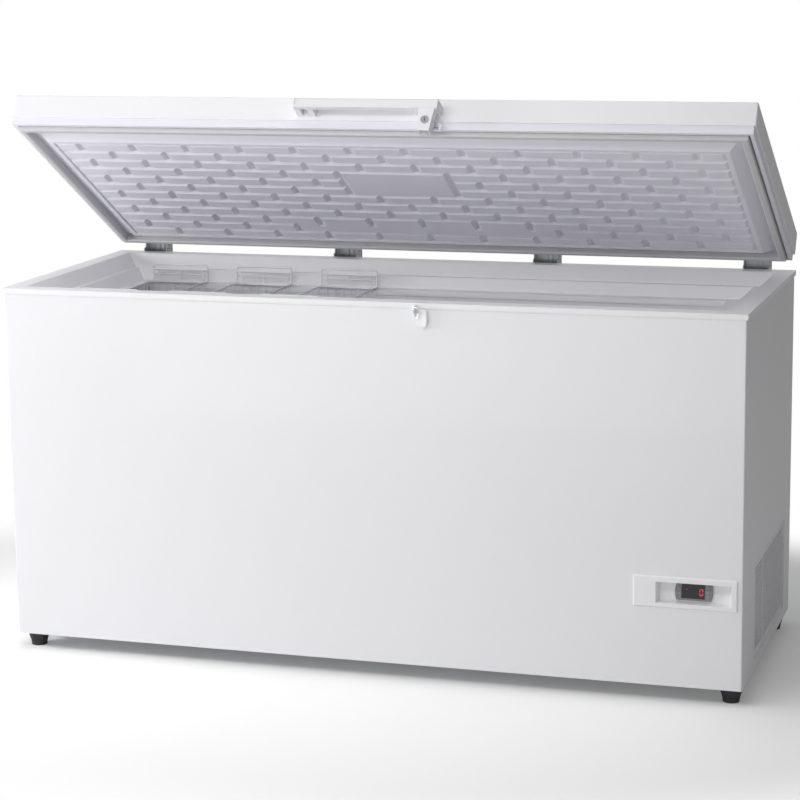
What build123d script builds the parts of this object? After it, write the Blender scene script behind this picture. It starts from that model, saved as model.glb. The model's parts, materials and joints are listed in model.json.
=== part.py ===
from build123d import *
import os
from math import cos, pi, radians, sin

# Low temperature chest freezer, millimetres, +Z up, +Y to the back.
# The origin is on the floor, under the middle of the whole footprint.

# Cabinet
RIM_LENGTH = 1610.0
RIM_DEPTH = 630.0
BODY_HEIGHT = 769.0
FOOT_HEIGHT = 35.0
RIM_OVERHANG = 3.0
SHEET = 1.0
BASE_LIP = 14.0
FLOOR_FOAM = 100.0
CORNER_FOLD = 3.0

# Plastic rim around the mouth: widths inward, drops below its top
RIM_THICK = 3.0
RIM_SKIRT = 11.0
RIM_FLAT = 38.0
RIM_BEVEL = 27.0
LEDGE_DROP = 29.0
LEDGE_WIDTH = 15.0
RIM_SLOPE = 20.0
HANGER_DROP = 54.0
HANGER_WIDTH = 29.0
LINER_LAP = 12.0
LINER_SHEET = 1.2

# Machine compartment at the right end, and the step over it
MACHINE_LENGTH = 330.0
MACHINE_HEIGHT = 250.0
STEP_FOAM = 90.0

# Feet
FOOT_RADIUS = 22.0
FOOT_PAD_RADIUS = 17.0
FOOT_INSET_X = 31.0
FOOT_INSET_Y = 46.0
STUD_RADIUS = 5.0
STUD_RISE = 14.0

# Lid, described closed and then swung open
LID_LENGTH = 1605.0
LID_DEPTH = 646.4
LID_SKIRT = 51.3
LID_GAP = 25.0
LID_OPEN = 30.46
LID_HEM = 10.0
LID_EDGE = 3.0
LIP_INSET = 4.5
LIP_WIDTH = 8.0
LIP_DROP = 16.0
GUTTER_DROP = 5.5
PANEL_THICK = 3.0
PLUG_INSET_FRONT = 48.0
PLUG_INSET_SIDE = 37.5
PLUG_INSET_BACK = 39.5
PLUG_SLOPE = 23.0
PLUG_DROP = 24.5

# Raised brick pattern of the lid's inner panel
BRICK_PITCH_X = 122.5
BRICK_ROWS = 12
BRICK_RELIEF = 6.0
BRICK_BORDER = 9.0
BRICK_SIDE_SLOPE = 5.0
BRICK_END_SLOPE = 8.0
BRICK_GAP = 3.0
BRICK_END_GAP = 4.0
FIELD_ROWS = (3, 4, 5)
FIELD_PITCHES = 1.0
STRIP_ROW = 10
STRIP_PITCHES = 2.5

# Gasket
GASKET_INSET = 14.0
GASKET_WIDTH = 17.0
GASKET_FLANGE = 2.0
SEAT_CLEARANCE = 0.3

# Hinges
HINGE_BEHIND = 24.0
HINGE_ABOVE = 50.0
HINGE_X = (-717.0, -239.0, 239.0, 717.0)
HINGE_HALF = 29.5
HINGE_SHEET = 2.0
HINGE_WEB_BACK = 12.0
HINGE_DROP = 190.0
HINGE_RIB = 4.0
EAR_WIDTH = 16.0
PIN_RADIUS = 3.0
PIN_HEAD_RADIUS = 5.0
PIN_HEAD = 2.0
PIN_SEAT = 0.02
PIN_RUNNING = 0.08
LEAF_BACK = 11.0
LEAF_HALF = 20.0
LEAF_CLEARANCE = 1.5
EYE_RADIUS = 8.0
SPRING_OUTER = 7.5
SPRING_INNER = 4.0
SCREW_RADIUS = 4.0
SCREW_HEAD = 2.4

# Handle and lock on the lid's front
HANDLE_PROUD = 40.0
HANDLE_LEFT = -148.0
HANDLE_RIGHT = 161.0
HANDLE_LOW = 11.0
HANDLE_HIGH = 32.0
BAR_THICK = 12.0
BAR_BEAD = 4.0
BRACKET_WIDTH = 40.0
BRACKET_SLOT = 16.0
BLOCK_WIDTH = 50.0
LOCK_X = 139.0
LOCK_DROP = 14.0
LOCK_TOP_HALF = 17.0
LOCK_FOOT_HALF = 12.0
LOCK_FOOT = 38.0
LOCK_BACK = 15.0
LOCK_WALL = 3.0
CORE_RADIUS = 6.0
CORE_RUNNING = 0.08
BARREL_RADIUS = 8.5
BARREL_PROUD = 1.2
KEYWAY = (1.8, 7.0, 9.0)
CAM_THICK = 2.5
CAM_HALF = 4.0
CAM_OUTER = 28.0
CAM_INNER = 24.0
CAM_NOSE_DEG = 22.0
CAM_PROUD = 11.0

# Keeper on the cabinet that the lock cam hooks under
CATCH_REACH = 17.0
CATCH_HALF = 13.0
CATCH_TOP = 6.0
CATCH_LENGTH = 44.0
CATCH_BASE = 3.0
CATCH_RIB = 7.0
CATCH_RIB_WIDTH = 3.5
KEEPER_X = -9.0
KEEPER_DROP = 19.0
KEEPER_RADIUS = 2.5
KEEPER_PLATE = 3.0

# Control panel, distances from the rim's right end and heights above the cabinet's underside
BEZEL_OUTER = 226.0
BEZEL_INNER = 13.0
BEZEL_LOW = 165.0
BEZEL_HIGH = 230.0
BEZEL_PROUD = 3.5
BEZEL_CHAMFER = 2.0
BEZEL_WALL = 2.2
POCKET_OUTER = 180.0
POCKET_INNER = 25.7
POCKET_LOW = 175.0
POCKET_HIGH = 218.5
POCKET_DEEP = 24.0
POCKET_TILT = 14.0
POCKET_DRAFT = 5.5

# Thermostat in the pocket
FASCIA_LENGTH = 76.5
FASCIA_HEIGHT = 36.0
FASCIA_THICK = 7.0
FASCIA_BULGE = 3.0
FASCIA_X_SHIFT = -1.5
CUTOUT_LENGTH = 71.0
CUTOUT_HEIGHT = 29.0
CUTOUT_FIT = 0.3
CONTROLLER_DEEP = 48.0
WINDOW_LENGTH = 48.0
WINDOW_HEIGHT = 29.0
WINDOW_SHIFT = -1.0
WINDOW_THICK = 2.0
BUTTON_LENGTH = 7.0
BUTTON_HEIGHT = 6.0
BUTTON_TRAVEL = 0.6
BUTTON_GAP = 0.3
DIGIT_HEIGHT = 14.0
DIGIT_WIDTH = 7.5
DIGIT_STROKE = 1.6
DIGIT_THICK = 0.3

# Vent grille on the right side, and the rear vent cover
VENT_FRONT = 155.0
VENT_BACK = 550.0
VENT_LOW = 22.0
VENT_HIGH = 228.0
VENT_FRAME = 14.0
VENT_RECESS = 2.5
VENT_THICK = 2.0
VENT_BAR = 0.27
VENT_BAR_WIDTH = 12.0
VENT_SLOT = (17.0, 5.0)
VENT_PITCH = (24.0, 14.0)
VENT_FIT = 0.5
REAR_SLOT_PITCH = 20.0
REAR_SLOT = (90.0, 6.0)

# Wire baskets
BASKET_FROM_END = 74.0
BASKET_PITCH = 207.0
BASKET_COUNT = 3
BASKET_WIDTH = 134.0
BASKET_HEIGHT = 205.0
BASKET_SIDE_GAP = 8.0
WIRE = 3.0
FRAME_WIRE = 5.0
HANGER_HALF = 88.0
HANDLE_RISE = 38.0
GRIP_DROP = 11.0
GRIP_HEIGHT = 6.0
BASKET_LIFT = 75.0
BASKET_BAYS = 5

# Refrigeration
SHELL_RADIUS = 75.0
SHELL_HEIGHT = 180.0
SHELL_SEAM = 4.0
SHELL_FEET = 8.0
SHELL_FROM_BULKHEAD = 92.0
SHELL_FROM_BACK = 105.0
GROMMET_HEIGHT = 18.0
GROMMET_RADIUS = 13.0
GROMMET_SPACING = 62.0
CONDENSER_FROM_SIDE = 102.0
CONDENSER_THICK = 60.0
CONDENSER_HEIGHT = 170.0
CONDENSER_GAP = 12.0
CONDENSER_TUBE_END = 8.0
CONDENSER_ROWS = 3
FIN_PITCH = 32.0
FIN_THICK = 1.5
FAN_RADIUS = 72.0
FAN_HUB = 16.0
FAN_BLADES = 5
FAN_DEEP = 22.0
SHROUD_DEEP = 34.0
MOTOR_RADIUS = 26.0
MOTOR_LENGTH = 45.0
COIL_RADIUS = 4.0
COIL_LOOPS = 4
COIL_PITCH = 75.0
COIL_OFF = 3.0
LINE_RADIUS = 4.0
DRIER_RADIUS = 11.0
DRIER_LENGTH = 110.0
DRIER_NECK = 3.0
DRIER_RISE = 70.0
DRIER_FORWARD = 200.0
LINE_BEND = 10.0
HIDDEN_SIDES = 12
GLAND_RADIUS = 11.0
GLAND_REACH = 18.0

# Levels and planes worked out from the sizes above
RIM_TOP = FOOT_HEIGHT + BODY_HEIGHT
RIM_Y = (CATCH_REACH - HINGE_BEHIND - HINGE_WEB_BACK) / 2
FRONT = RIM_Y - RIM_DEPTH / 2
BACK = RIM_Y + RIM_DEPTH / 2
RIGHT = RIM_LENGTH / 2
STEEL_X = RIGHT - RIM_OVERHANG
STEEL_FRONT = FRONT + RIM_OVERHANG
STEEL_BACK = BACK - RIM_OVERHANG
BASE_TOP = FOOT_HEIGHT + 2 * SHEET
LEDGE_START = RIM_FLAT + RIM_BEVEL
HANGER_START = LEDGE_START + LEDGE_WIDTH + RIM_SLOPE
RIM_INNER = HANGER_START + HANGER_WIDTH
LINER_INSET = RIM_INNER - RIM_THICK
LINER_X = RIGHT - LINER_INSET
LINER_FRONT = FRONT + LINER_INSET
LINER_BACK = BACK - LINER_INSET
LINER_TOP = RIM_TOP - HANGER_DROP - RIM_THICK
LINER_FLOOR = BASE_TOP + FLOOR_FOAM
BULKHEAD_X = STEEL_X - SHEET - MACHINE_LENGTH
BULKHEAD_Z = BASE_TOP + MACHINE_HEIGHT
STEP_X = BULKHEAD_X - SHEET - STEP_FOAM
STEP_Z = BULKHEAD_Z + SHEET + STEP_FOAM
SHELL_X = BULKHEAD_X + SHELL_FROM_BULKHEAD
SHELL_Y = STEEL_BACK - SHEET - SHELL_FROM_BACK
CONDENSER_X = STEEL_X - CONDENSER_FROM_SIDE
CONDENSER_START = FRONT + VENT_FRONT + CONDENSER_GAP
CONDENSER_END = SHELL_Y - SHELL_RADIUS - CONDENSER_GAP - CONDENSER_TUBE_END
HINGE_Y = BACK + HINGE_BEHIND
HINGE_Z = RIM_TOP + HINGE_ABOVE
LID_BACK = HINGE_Y - LEAF_BACK
LID_FRONT = LID_BACK - LID_DEPTH
LID_Y = (LID_BACK + LID_FRONT) / 2
LID_BOTTOM = RIM_TOP + LID_GAP
LID_TOP = LID_BOTTOM + LID_SKIRT
GUTTER_Z = LID_BOTTOM - GUTTER_DROP
FACE_Z = LID_BOTTOM - PLUG_DROP


def cuboid(x0, x1, y0, y1, z0, z1):
    """Box between six planes."""
    middle = ((x0 + x1) / 2, (y0 + y1) / 2, (z0 + z1) / 2)
    return Pos(*middle) * Box(x1 - x0, y1 - y0, z1 - z0)


def prism(points, direction):
    """Straight prism of a flat polygon given by 3-D points."""
    solid = Solid.extrude(Face(Wire.make_polygon(points, close=True)), Vector(*direction))
    return solid


def prism_x(points, x0, x1):
    """Prism along X of a (y, z) outline."""
    return prism([(x0, y, z) for y, z in points], (x1 - x0, 0, 0))


def prism_y(points, y0, y1):
    """Prism along Y of an (x, z) outline."""
    return prism([(x, y0, z) for x, z in points], (0, y1 - y0, 0))


def rod(start, end, radius):
    """Round bar between two points."""
    start, end = Vector(*start), Vector(*end)
    axis = end - start
    return Plane(origin=start + axis / 2, z_dir=axis) * Cylinder(radius, axis.length)


def sided_rod(start, end, radius, sides=HIDDEN_SIDES):
    """Straight bar of a many-sided section between two points."""
    start, end = Vector(*start), Vector(*end)
    axis = end - start
    return Plane(origin=start, z_dir=axis) * extrude(RegularPolygon(radius, sides), axis.length)


def bar(start, end, size):
    """Square bar between two points, for welded wire."""
    start, end = Vector(*start), Vector(*end)
    axis = end - start
    return Plane(origin=start + axis / 2, z_dir=axis) * Box(size, size, axis.length)


def fuse(solids):
    """One shape from touching solids."""
    first = solids[0]
    return first.fuse(*solids[1:]) if len(solids) > 1 else first


def frame_ring(points, length, depth, middle_y):
    """Mitred frame of one (inset, z) section around a rectangle."""
    half_x, half_y = length / 2, depth / 2
    low = min(z for _, z in points) - 1
    rise = max(z for _, z in points) - low + 1
    tip = half_x - half_y
    sides = []
    for sign in (-1, 1):
        edge = middle_y + sign * half_y
        section = prism_x([(edge - sign * a, z) for a, z in points], -half_x, half_x)
        plan = [(-half_x, edge, low), (half_x, edge, low), (tip, middle_y, low), (-tip, middle_y, low)]
        sides.append(section & prism(plan, (0, 0, rise)))
        edge = sign * half_x
        section = prism_y([(edge - sign * a, z) for a, z in points], middle_y - half_y, middle_y + half_y)
        plan = [(edge, middle_y - half_y, low), (edge, middle_y + half_y, low), (sign * tip, middle_y, low)]
        sides.append(section & prism(plan, (0, 0, rise)))
    return fuse([piece.solid() for piece in sides])


def frustum(x0, x1, y0, y1, z0, run_x, run_y, rise):
    """Rectangle at z0 that narrows by run_x and run_y on each side over a signed rise."""
    lower = [(x0, y0, z0), (x1, y0, z0), (x1, y1, z0), (x0, y1, z0)]
    z1 = z0 + rise
    upper = [(x0 + run_x, y0 + run_y, z1), (x1 - run_x, y0 + run_y, z1)]
    upper += [(x1 - run_x, y1 - run_y, z1), (x0 + run_x, y1 - run_y, z1)]
    wires = [Wire.make_polygon(points, close=True) for points in (lower, upper)]
    return Solid.make_loft(wires, ruled=True)


def swing_open(shape):
    """Swings a closed-lid shape about the hinge pins to the lid's rest angle."""
    return Pos(0, HINGE_Y, HINGE_Z) * Rot(-LID_OPEN, 0, 0) * Pos(0, -HINGE_Y, -HINGE_Z) * shape


def rim_section():
    """Outline of the plastic rim as (inset, z)."""
    top = [(0, 0), (RIM_FLAT, 0), (LEDGE_START, -LEDGE_DROP), (LEDGE_START + LEDGE_WIDTH, -LEDGE_DROP)]
    top += [(HANGER_START, -HANGER_DROP), (RIM_INNER, -HANGER_DROP)]
    top += [(RIM_INNER, -HANGER_DROP - LINER_LAP)]
    under = [(LINER_INSET, -HANGER_DROP - LINER_LAP)] + rim_underside()
    return [(a, RIM_TOP + z) for a, z in top + under]


def rim_underside():
    """Underside of the rim from the liner outward, as (inset, drop)."""
    t = RIM_THICK
    under = [(LINER_INSET, -HANGER_DROP - t), (HANGER_START - t / 2, -HANGER_DROP - t)]
    under += [(LEDGE_START + LEDGE_WIDTH - t / 2, -LEDGE_DROP - t), (LEDGE_START - t / 2, -LEDGE_DROP - t)]
    under += [(RIM_FLAT - t / 2, -t), (RIM_OVERHANG, -t), (RIM_OVERHANG, -RIM_SKIRT), (0, -RIM_SKIRT)]
    return under


def breaker_frame():
    return frame_ring(rim_section(), RIM_LENGTH, RIM_DEPTH, RIM_Y)


def outer_cabinet():
    """Folded steel wrap: front and both sides, with a lip folded in under the base."""
    top = RIM_TOP - RIM_THICK
    wrap = cuboid(-STEEL_X, STEEL_X, STEEL_FRONT, STEEL_BACK, FOOT_HEIGHT, top)
    folds = wrap.edges().filter_by(Axis.Z).group_by(Axis.Y)[0]
    wrap = fillet(folds, CORNER_FOLD)
    t = SHEET
    wrap -= cuboid(-STEEL_X + t, STEEL_X - t, STEEL_FRONT + t, STEEL_BACK + t, FOOT_HEIGHT + t, top + t)
    lip = BASE_LIP
    hole = cuboid(-STEEL_X + lip, STEEL_X - lip, STEEL_FRONT + lip, STEEL_BACK + t, 0, FOOT_HEIGHT + 2 * t)
    wrap -= hole
    wrap -= bezel_opening()
    wrap -= vent_opening()
    return wrap


def bezel_span(inset):
    """Limits of the bezel plate, drawn in by an inset: x0, x1, z0, z1."""
    x0, x1 = RIGHT - BEZEL_OUTER + inset, RIGHT - BEZEL_INNER - inset
    return x0, x1, FOOT_HEIGHT + BEZEL_LOW + inset, FOOT_HEIGHT + BEZEL_HIGH - inset


def bezel_opening():
    """Hole in the front steel behind the bezel, clear of the pocket."""
    x0, x1, z0, z1 = pocket_span(-BEZEL_WALL - CUTOUT_FIT)
    return cuboid(x0, x1, STEEL_FRONT - 1, STEEL_FRONT + 2 * SHEET, z0, z1)


def vent_span(inset):
    """Limits of the side vent, drawn in by an inset: y0, y1, z0, z1."""
    y0, y1 = FRONT + VENT_FRONT + inset, FRONT + VENT_BACK - inset
    return y0, y1, FOOT_HEIGHT + VENT_LOW + inset, FOOT_HEIGHT + VENT_HIGH - inset


def vent_opening():
    y0, y1, z0, z1 = vent_span(0)
    return cuboid(STEEL_X - 2 * SHEET, STEEL_X + 1, y0, y1, z0, z1)


def rear_panel():
    """Flat back of the cabinet, with the rear vent and the cable gland's hole."""
    x = STEEL_X - SHEET
    panel = cuboid(-x, x, STEEL_BACK - SHEET, STEEL_BACK, BASE_TOP, RIM_TOP - RIM_THICK)
    x0, x1, z0, z1 = rear_vent_span(VENT_FRAME)
    panel -= cuboid(x0, x1, STEEL_BACK - 2 * SHEET, STEEL_BACK + 1, z0, z1)
    gland = gland_point()
    hole = rod((gland.X, STEEL_BACK - 2 * SHEET, gland.Z), (gland.X, STEEL_BACK + 1, gland.Z),
               GLAND_RADIUS * 0.6 + PIN_SEAT)
    return panel - hole


def base_pan():
    """Steel floor of the cabinet, on the folded lip, with its four foot bosses."""
    x = STEEL_X - SHEET
    pan = cuboid(-x, x, STEEL_FRONT + SHEET, STEEL_BACK - SHEET, BASE_TOP - SHEET, BASE_TOP)
    for fx, fy in foot_places():
        boss = sided_rod((fx, fy, FOOT_HEIGHT), (fx, fy, BASE_TOP - SHEET), FOOT_RADIUS * 0.8)
        pan += boss & cuboid(-x + BASE_LIP, x - BASE_LIP, STEEL_FRONT + BASE_LIP, STEEL_BACK, 0, RIM_TOP)
        pan -= rod((fx, fy, 0), (fx, fy, BASE_TOP + 1), STUD_RADIUS + PIN_SEAT)
    return pan


def foot_places():
    xs = (-RIGHT + FOOT_INSET_X, RIGHT - FOOT_INSET_X)
    ys = (FRONT + FOOT_INSET_Y, BACK - FOOT_INSET_Y)
    return [(x, y) for x in xs for y in ys]


def foot_profile():
    """Half section of one rubber foot, bored for its stud."""
    h, r, pad = FOOT_HEIGHT, FOOT_RADIUS, FOOT_PAD_RADIUS
    bore = STUD_RADIUS + PIN_SEAT
    rise = h * 0.3
    with BuildSketch(Plane.XZ) as half:
        with BuildLine():
            Polyline((bore, h), (bore, rise), (0, rise), (0, 0), (pad, 0), (pad + 1.5, rise))
            Polyline((pad + 1.5, rise), (r, h * 0.6), (r, h), (bore, h))
        make_face()
    return half.sketch


def rubber_feet():
    foot = revolve(foot_profile(), Axis.Z)
    return [Pos(x, y, 0) * foot for x, y in foot_places()]


def foot_studs():
    """Threaded studs moulded into the feet and screwed through the base."""
    low = FOOT_HEIGHT * 0.3
    return [rod((x, y, low), (x, y, BASE_TOP + STUD_RISE), STUD_RADIUS) for x, y in foot_places()]


def liner_outline(grow, top):
    """Side view of the chamber with its step over the machine compartment."""
    left, right = -LINER_X - grow, LINER_X + grow
    floor, step_x, step_z = LINER_FLOOR - grow, STEP_X + grow, STEP_Z - grow
    return [(left, floor), (step_x, floor), (step_x, step_z), (right, step_z), (right, top), (left, top)]


def inner_liner():
    t = LINER_SHEET
    outer = prism_y(liner_outline(t, LINER_TOP), LINER_FRONT - t, LINER_BACK + t)
    return outer - prism_y(liner_outline(0, LINER_TOP + t), LINER_FRONT, LINER_BACK)


def coil_levels():
    top = LINER_TOP - COIL_PITCH / 2
    return [top - COIL_PITCH * n for n in range(COIL_LOOPS)]


def evaporator_coil():
    """Tube wound round the liner inside the foam, level loops joined by risers."""
    away = LINER_SHEET + COIL_OFF + COIL_RADIUS
    length, depth = 2 * (LINER_X + away), LINER_BACK - LINER_FRONT + 2 * away
    middle = (LINER_FRONT + LINER_BACK) / 2
    corners = [2 * pi * (n + 0.5) / 8 for n in range(8)]
    loops = []
    for z in coil_levels():
        section = [(COIL_RADIUS * cos(a), z + COIL_RADIUS * sin(a)) for a in corners]
        loops.append(frame_ring(section, length, depth, middle))
    y = LINER_BACK + away
    levels = coil_levels()
    for n in range(COIL_LOOPS - 1):
        side = LINER_X / 2 if n % 2 else -LINER_X / 2
        loops.append(bar((side, y, levels[n + 1]), (side, y, levels[n]), COIL_RADIUS * 1.4))
    return fuse(loops)


def cabinet_insulation():
    """Foam between the steel and the liner, with the coil's grooves and the machine space left out."""
    x, y0, y1 = STEEL_X - SHEET, STEEL_FRONT + SHEET, STEEL_BACK - SHEET
    foam = cuboid(-x, x, y0, y1, BASE_TOP, RIM_TOP - RIM_THICK)
    foam -= prism_y(liner_outline(LINER_SHEET, RIM_TOP + 1), LINER_FRONT - LINER_SHEET,
                    LINER_BACK + LINER_SHEET)
    foam -= cuboid(BULKHEAD_X - SHEET, x + 1, y0 - 1, y1 + 1, 0, BULKHEAD_Z + SHEET)
    above = [(a, RIM_TOP + z) for a, z in rim_underside()[:-3]]
    above += [(0, RIM_TOP - RIM_THICK), (0, RIM_TOP + 1), (LINER_INSET, RIM_TOP + 1)]
    foam -= frame_ring(above, RIM_LENGTH, RIM_DEPTH, RIM_Y)
    groove = 2 * COIL_RADIUS + 2 * SEAT_CLEARANCE
    grow = LINER_SHEET + COIL_OFF + 2 * COIL_RADIUS + SEAT_CLEARANCE
    for z in coil_levels():
        foam -= cuboid(-LINER_X - grow, LINER_X + grow, LINER_FRONT - grow, LINER_BACK + grow,
                       z - groove / 2, z + groove / 2)
    levels = coil_levels()
    for side in (-LINER_X / 2, LINER_X / 2):
        foam -= cuboid(side - groove / 2, side + groove / 2, LINER_BACK, LINER_BACK + grow,
                       levels[-1], levels[0])
    for fx, fy in foot_places():
        foam -= rod((fx, fy, 0), (fx, fy, BASE_TOP + STUD_RISE + SEAT_CLEARANCE), STUD_RADIUS + SEAT_CLEARANCE)
    return foam.solids().sort_by(SortBy.VOLUME)[-1]


def machine_bulkhead():
    """Bent sheet that closes the foam off from the machine compartment."""
    x1, t = STEEL_X - SHEET, SHEET
    left, top = BULKHEAD_X, BULKHEAD_Z
    outline = [(left - t, BASE_TOP), (left, BASE_TOP), (left, top), (x1, top), (x1, top + t), (left - t, top + t)]
    return prism_y(outline, STEEL_FRONT + SHEET, STEEL_BACK - SHEET)


def pocket_span(inset):
    """Mouth of the control pocket, drawn in by an inset: x0, x1, z0, z1."""
    x0, x1 = RIGHT - POCKET_OUTER + inset, RIGHT - POCKET_INNER - inset
    return x0, x1, FOOT_HEIGHT + POCKET_LOW + inset, FOOT_HEIGHT + POCKET_HIGH - inset


def floor_depth(z):
    """Depth of the pocket's leaning floor behind the front steel at a height."""
    return POCKET_DEEP - (FOOT_HEIGHT + POCKET_HIGH - z) * sin(radians(POCKET_TILT)) / cos(radians(POCKET_TILT))


def pocket_solid(grow, mouth_y, deeper):
    """Tapered pocket volume from its mouth to the leaning floor."""
    x0, x1, z0, z1 = pocket_span(-grow)
    draft = POCKET_DRAFT
    mouth = [(x0, mouth_y, z0), (x1, mouth_y, z0), (x1, mouth_y, z1), (x0, mouth_y, z1)]
    low, high = z0 + 1, z1 - 1
    ys = [STEEL_FRONT + floor_depth(z) + deeper for z in (low, high)]
    floor = [(x0 + draft, ys[0], low), (x1 - draft, ys[0], low)]
    floor += [(x1 - draft, ys[1], high), (x0 + draft, ys[1], high)]
    wires = [Wire.make_polygon(points, close=True) for points in (mouth, floor)]
    return Solid.make_loft(wires, ruled=True)


def panel_plane():
    """Plane on the pocket's floor where the thermostat sits: x right, y up the slope, z outwards."""
    x0, x1, z0, z1 = pocket_span(0)
    z = (z0 + z1) / 2
    lean = radians(POCKET_TILT)
    origin = ((x0 + x1) / 2 + FASCIA_X_SHIFT, STEEL_FRONT + floor_depth(z), z)
    return Plane(origin=origin, x_dir=(1, 0, 0), z_dir=(0, -cos(lean), sin(lean)))


def control_bezel():
    """Moulded plate with the leaning pocket behind it and the thermostat's cut-out."""
    x0, x1, z0, z1 = bezel_span(0)
    plate = cuboid(x0, x1, STEEL_FRONT - BEZEL_PROUD, STEEL_FRONT, z0, z1)
    plate = chamfer(plate.faces().sort_by(Axis.Y)[0].edges(), BEZEL_CHAMFER)
    bezel = plate + pocket_solid(BEZEL_WALL, STEEL_FRONT - 1, BEZEL_WALL)
    bezel -= pocket_solid(0, STEEL_FRONT - BEZEL_PROUD - 1, 0)
    bezel -= panel_plane() * Box(CUTOUT_LENGTH, CUTOUT_HEIGHT, 6 * BEZEL_WALL)
    return bezel.solids().sort_by(SortBy.VOLUME)[-1]


def fascia_face(grow):
    """Outline of the thermostat's front with its bowed ends."""
    half_x, half_z = FASCIA_LENGTH / 2 - FASCIA_BULGE + grow, FASCIA_HEIGHT / 2 + grow
    bow = FASCIA_BULGE
    with BuildSketch() as face:
        with BuildLine():
            Line((-half_x, half_z), (half_x, half_z))
            ThreePointArc((half_x, half_z), (half_x + bow, 0), (half_x, -half_z))
            Line((half_x, -half_z), (-half_x, -half_z))
            ThreePointArc((-half_x, -half_z), (-half_x - bow, 0), (-half_x, half_z))
        make_face()
    return face.sketch


def button_places():
    """Centres of the push buttons on the fascia: two on the left, three on the right."""
    left = -(FASCIA_LENGTH + WINDOW_LENGTH) / 4 - WINDOW_SHIFT / 2 + 1
    right = (FASCIA_LENGTH + WINDOW_LENGTH) / 4 + WINDOW_SHIFT / 2 - 1
    step = BUTTON_HEIGHT + 3
    return [(left, step / 2), (left, -step / 2), (right, step), (right, 0), (right, -step)]


def thermostat_housing():
    """Controller with a bowed fascia, a window recess, button wells and its body behind."""
    front = extrude(fascia_face(0), FASCIA_THICK)
    front = chamfer(front.faces().sort_by(Axis.Z)[-1].edges(), 1.0)
    fit = CUTOUT_FIT
    body = Pos(0, 0, -CONTROLLER_DEEP / 2) * Box(CUTOUT_LENGTH - 2 * fit, CUTOUT_HEIGHT - 2 * fit, CONTROLLER_DEEP)
    housing = front + body
    housing -= Pos(WINDOW_SHIFT, 0, FASCIA_THICK) * Box(WINDOW_LENGTH, WINDOW_HEIGHT, 2 * WINDOW_THICK)
    for x, y in button_places():
        well = Box(BUTTON_LENGTH + 2 * BUTTON_GAP, BUTTON_HEIGHT + 2 * BUTTON_GAP, 6)
        housing -= Pos(x, y, FASCIA_THICK) * well
    return panel_plane() * housing


def display_window():
    """Dark lens in the fascia's recess."""
    lens = Pos(WINDOW_SHIFT, 0, FASCIA_THICK - WINDOW_THICK / 2)
    return panel_plane() * (lens * Box(WINDOW_LENGTH, WINDOW_HEIGHT, WINDOW_THICK))


def display_digit():
    """Seven segment nought, as thin lit bars on the lens, and the small power dot."""
    w, h, t = DIGIT_WIDTH / 2, DIGIT_HEIGHT / 2, DIGIT_STROKE
    middle = (WINDOW_SHIFT + WINDOW_LENGTH / 2 - DIGIT_WIDTH, -1, FASCIA_THICK + DIGIT_THICK / 2)
    bars = [Pos(0, side * (h - t / 2), 0) * Box(2 * w - 2 * t, t, DIGIT_THICK) for side in (-1, 1)]
    for side in (-1, 1):
        for level in (-1, 1):
            bars.append(Pos(side * (w - t / 2), level * h / 2, 0) * Box(t, h - t, DIGIT_THICK))
    dot = Pos(-WINDOW_LENGTH * 0.62, h * 0.75, 0) * Cylinder(0.8, DIGIT_THICK)
    return [panel_plane() * Pos(*middle) * solid for solid in bars + [dot]]


def push_button(number):
    """One rubber-tipped key standing slightly proud of the fascia."""
    x, y = button_places()[number]
    key = Box(BUTTON_LENGTH, BUTTON_HEIGHT, 3)
    key = fillet(key.faces().sort_by(Axis.Z)[-1].edges(), 0.6)
    low = FASCIA_THICK - 3 + BUTTON_TRAVEL + 0.2
    return panel_plane() * Pos(x, y, low + 1.5) * key


def side_vent_grille():
    """Moulded grille set into the side, two fields of slanted slots beside one plain bar."""
    y0, y1, z0, z1 = vent_span(VENT_FIT)
    face = STEEL_X - VENT_RECESS
    grille = cuboid(face - VENT_THICK, face, y0, y1, z0, z1)
    rim_y0, rim_y1, rim_z0, rim_z1 = vent_span(VENT_FIT + VENT_THICK)
    rim = cuboid(face, STEEL_X, y0, y1, z0, z1) - cuboid(face - 1, STEEL_X + 1, rim_y0, rim_y1, rim_z0, rim_z1)
    flange = cuboid(face - VENT_THICK, STEEL_X - SHEET - PIN_SEAT, y0 - 6, y1 + 6, z0 - 6, z1 + 6)
    flange -= cuboid(face - 9, STEEL_X, rim_y0, rim_y1, rim_z0, rim_z1)
    grille = fuse([grille, rim, flange])
    field_y0, field_y1, field_z0, field_z1 = vent_span(VENT_FRAME)
    bar_y = field_y0 + (field_y1 - field_y0) * VENT_BAR
    slots = []
    for first, last in ((field_y0, bar_y - VENT_BAR_WIDTH / 2), (bar_y + VENT_BAR_WIDTH / 2, field_y1)):
        columns = int((last - first) // VENT_PITCH[0])
        start = (first + last - (columns - 1) * VENT_PITCH[0]) / 2
        for column in range(columns):
            slots.extend(slot_column(start + column * VENT_PITCH[0], field_z0, field_z1, face))
    return grille.cut(*slots)


def slot_column(y, z0, z1, face):
    """One upright row of slanted slots through the grille."""
    rows = int((z1 - z0) // VENT_PITCH[1])
    start = (z0 + z1 - (rows - 1) * VENT_PITCH[1]) / 2
    half_y, half_z = VENT_SLOT[0] / 2, VENT_SLOT[1] / 2
    slant = VENT_SLOT[1] / 2
    column = []
    for row in range(rows):
        z = start + row * VENT_PITCH[1]
        outline = [(y - half_y, z - half_z - slant), (y + half_y, z - half_z + slant)]
        outline += [(y + half_y, z + half_z + slant), (y - half_y, z + half_z - slant)]
        column.append(prism_x(outline, face - 2 * VENT_THICK, face + 1))
    return column


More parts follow.
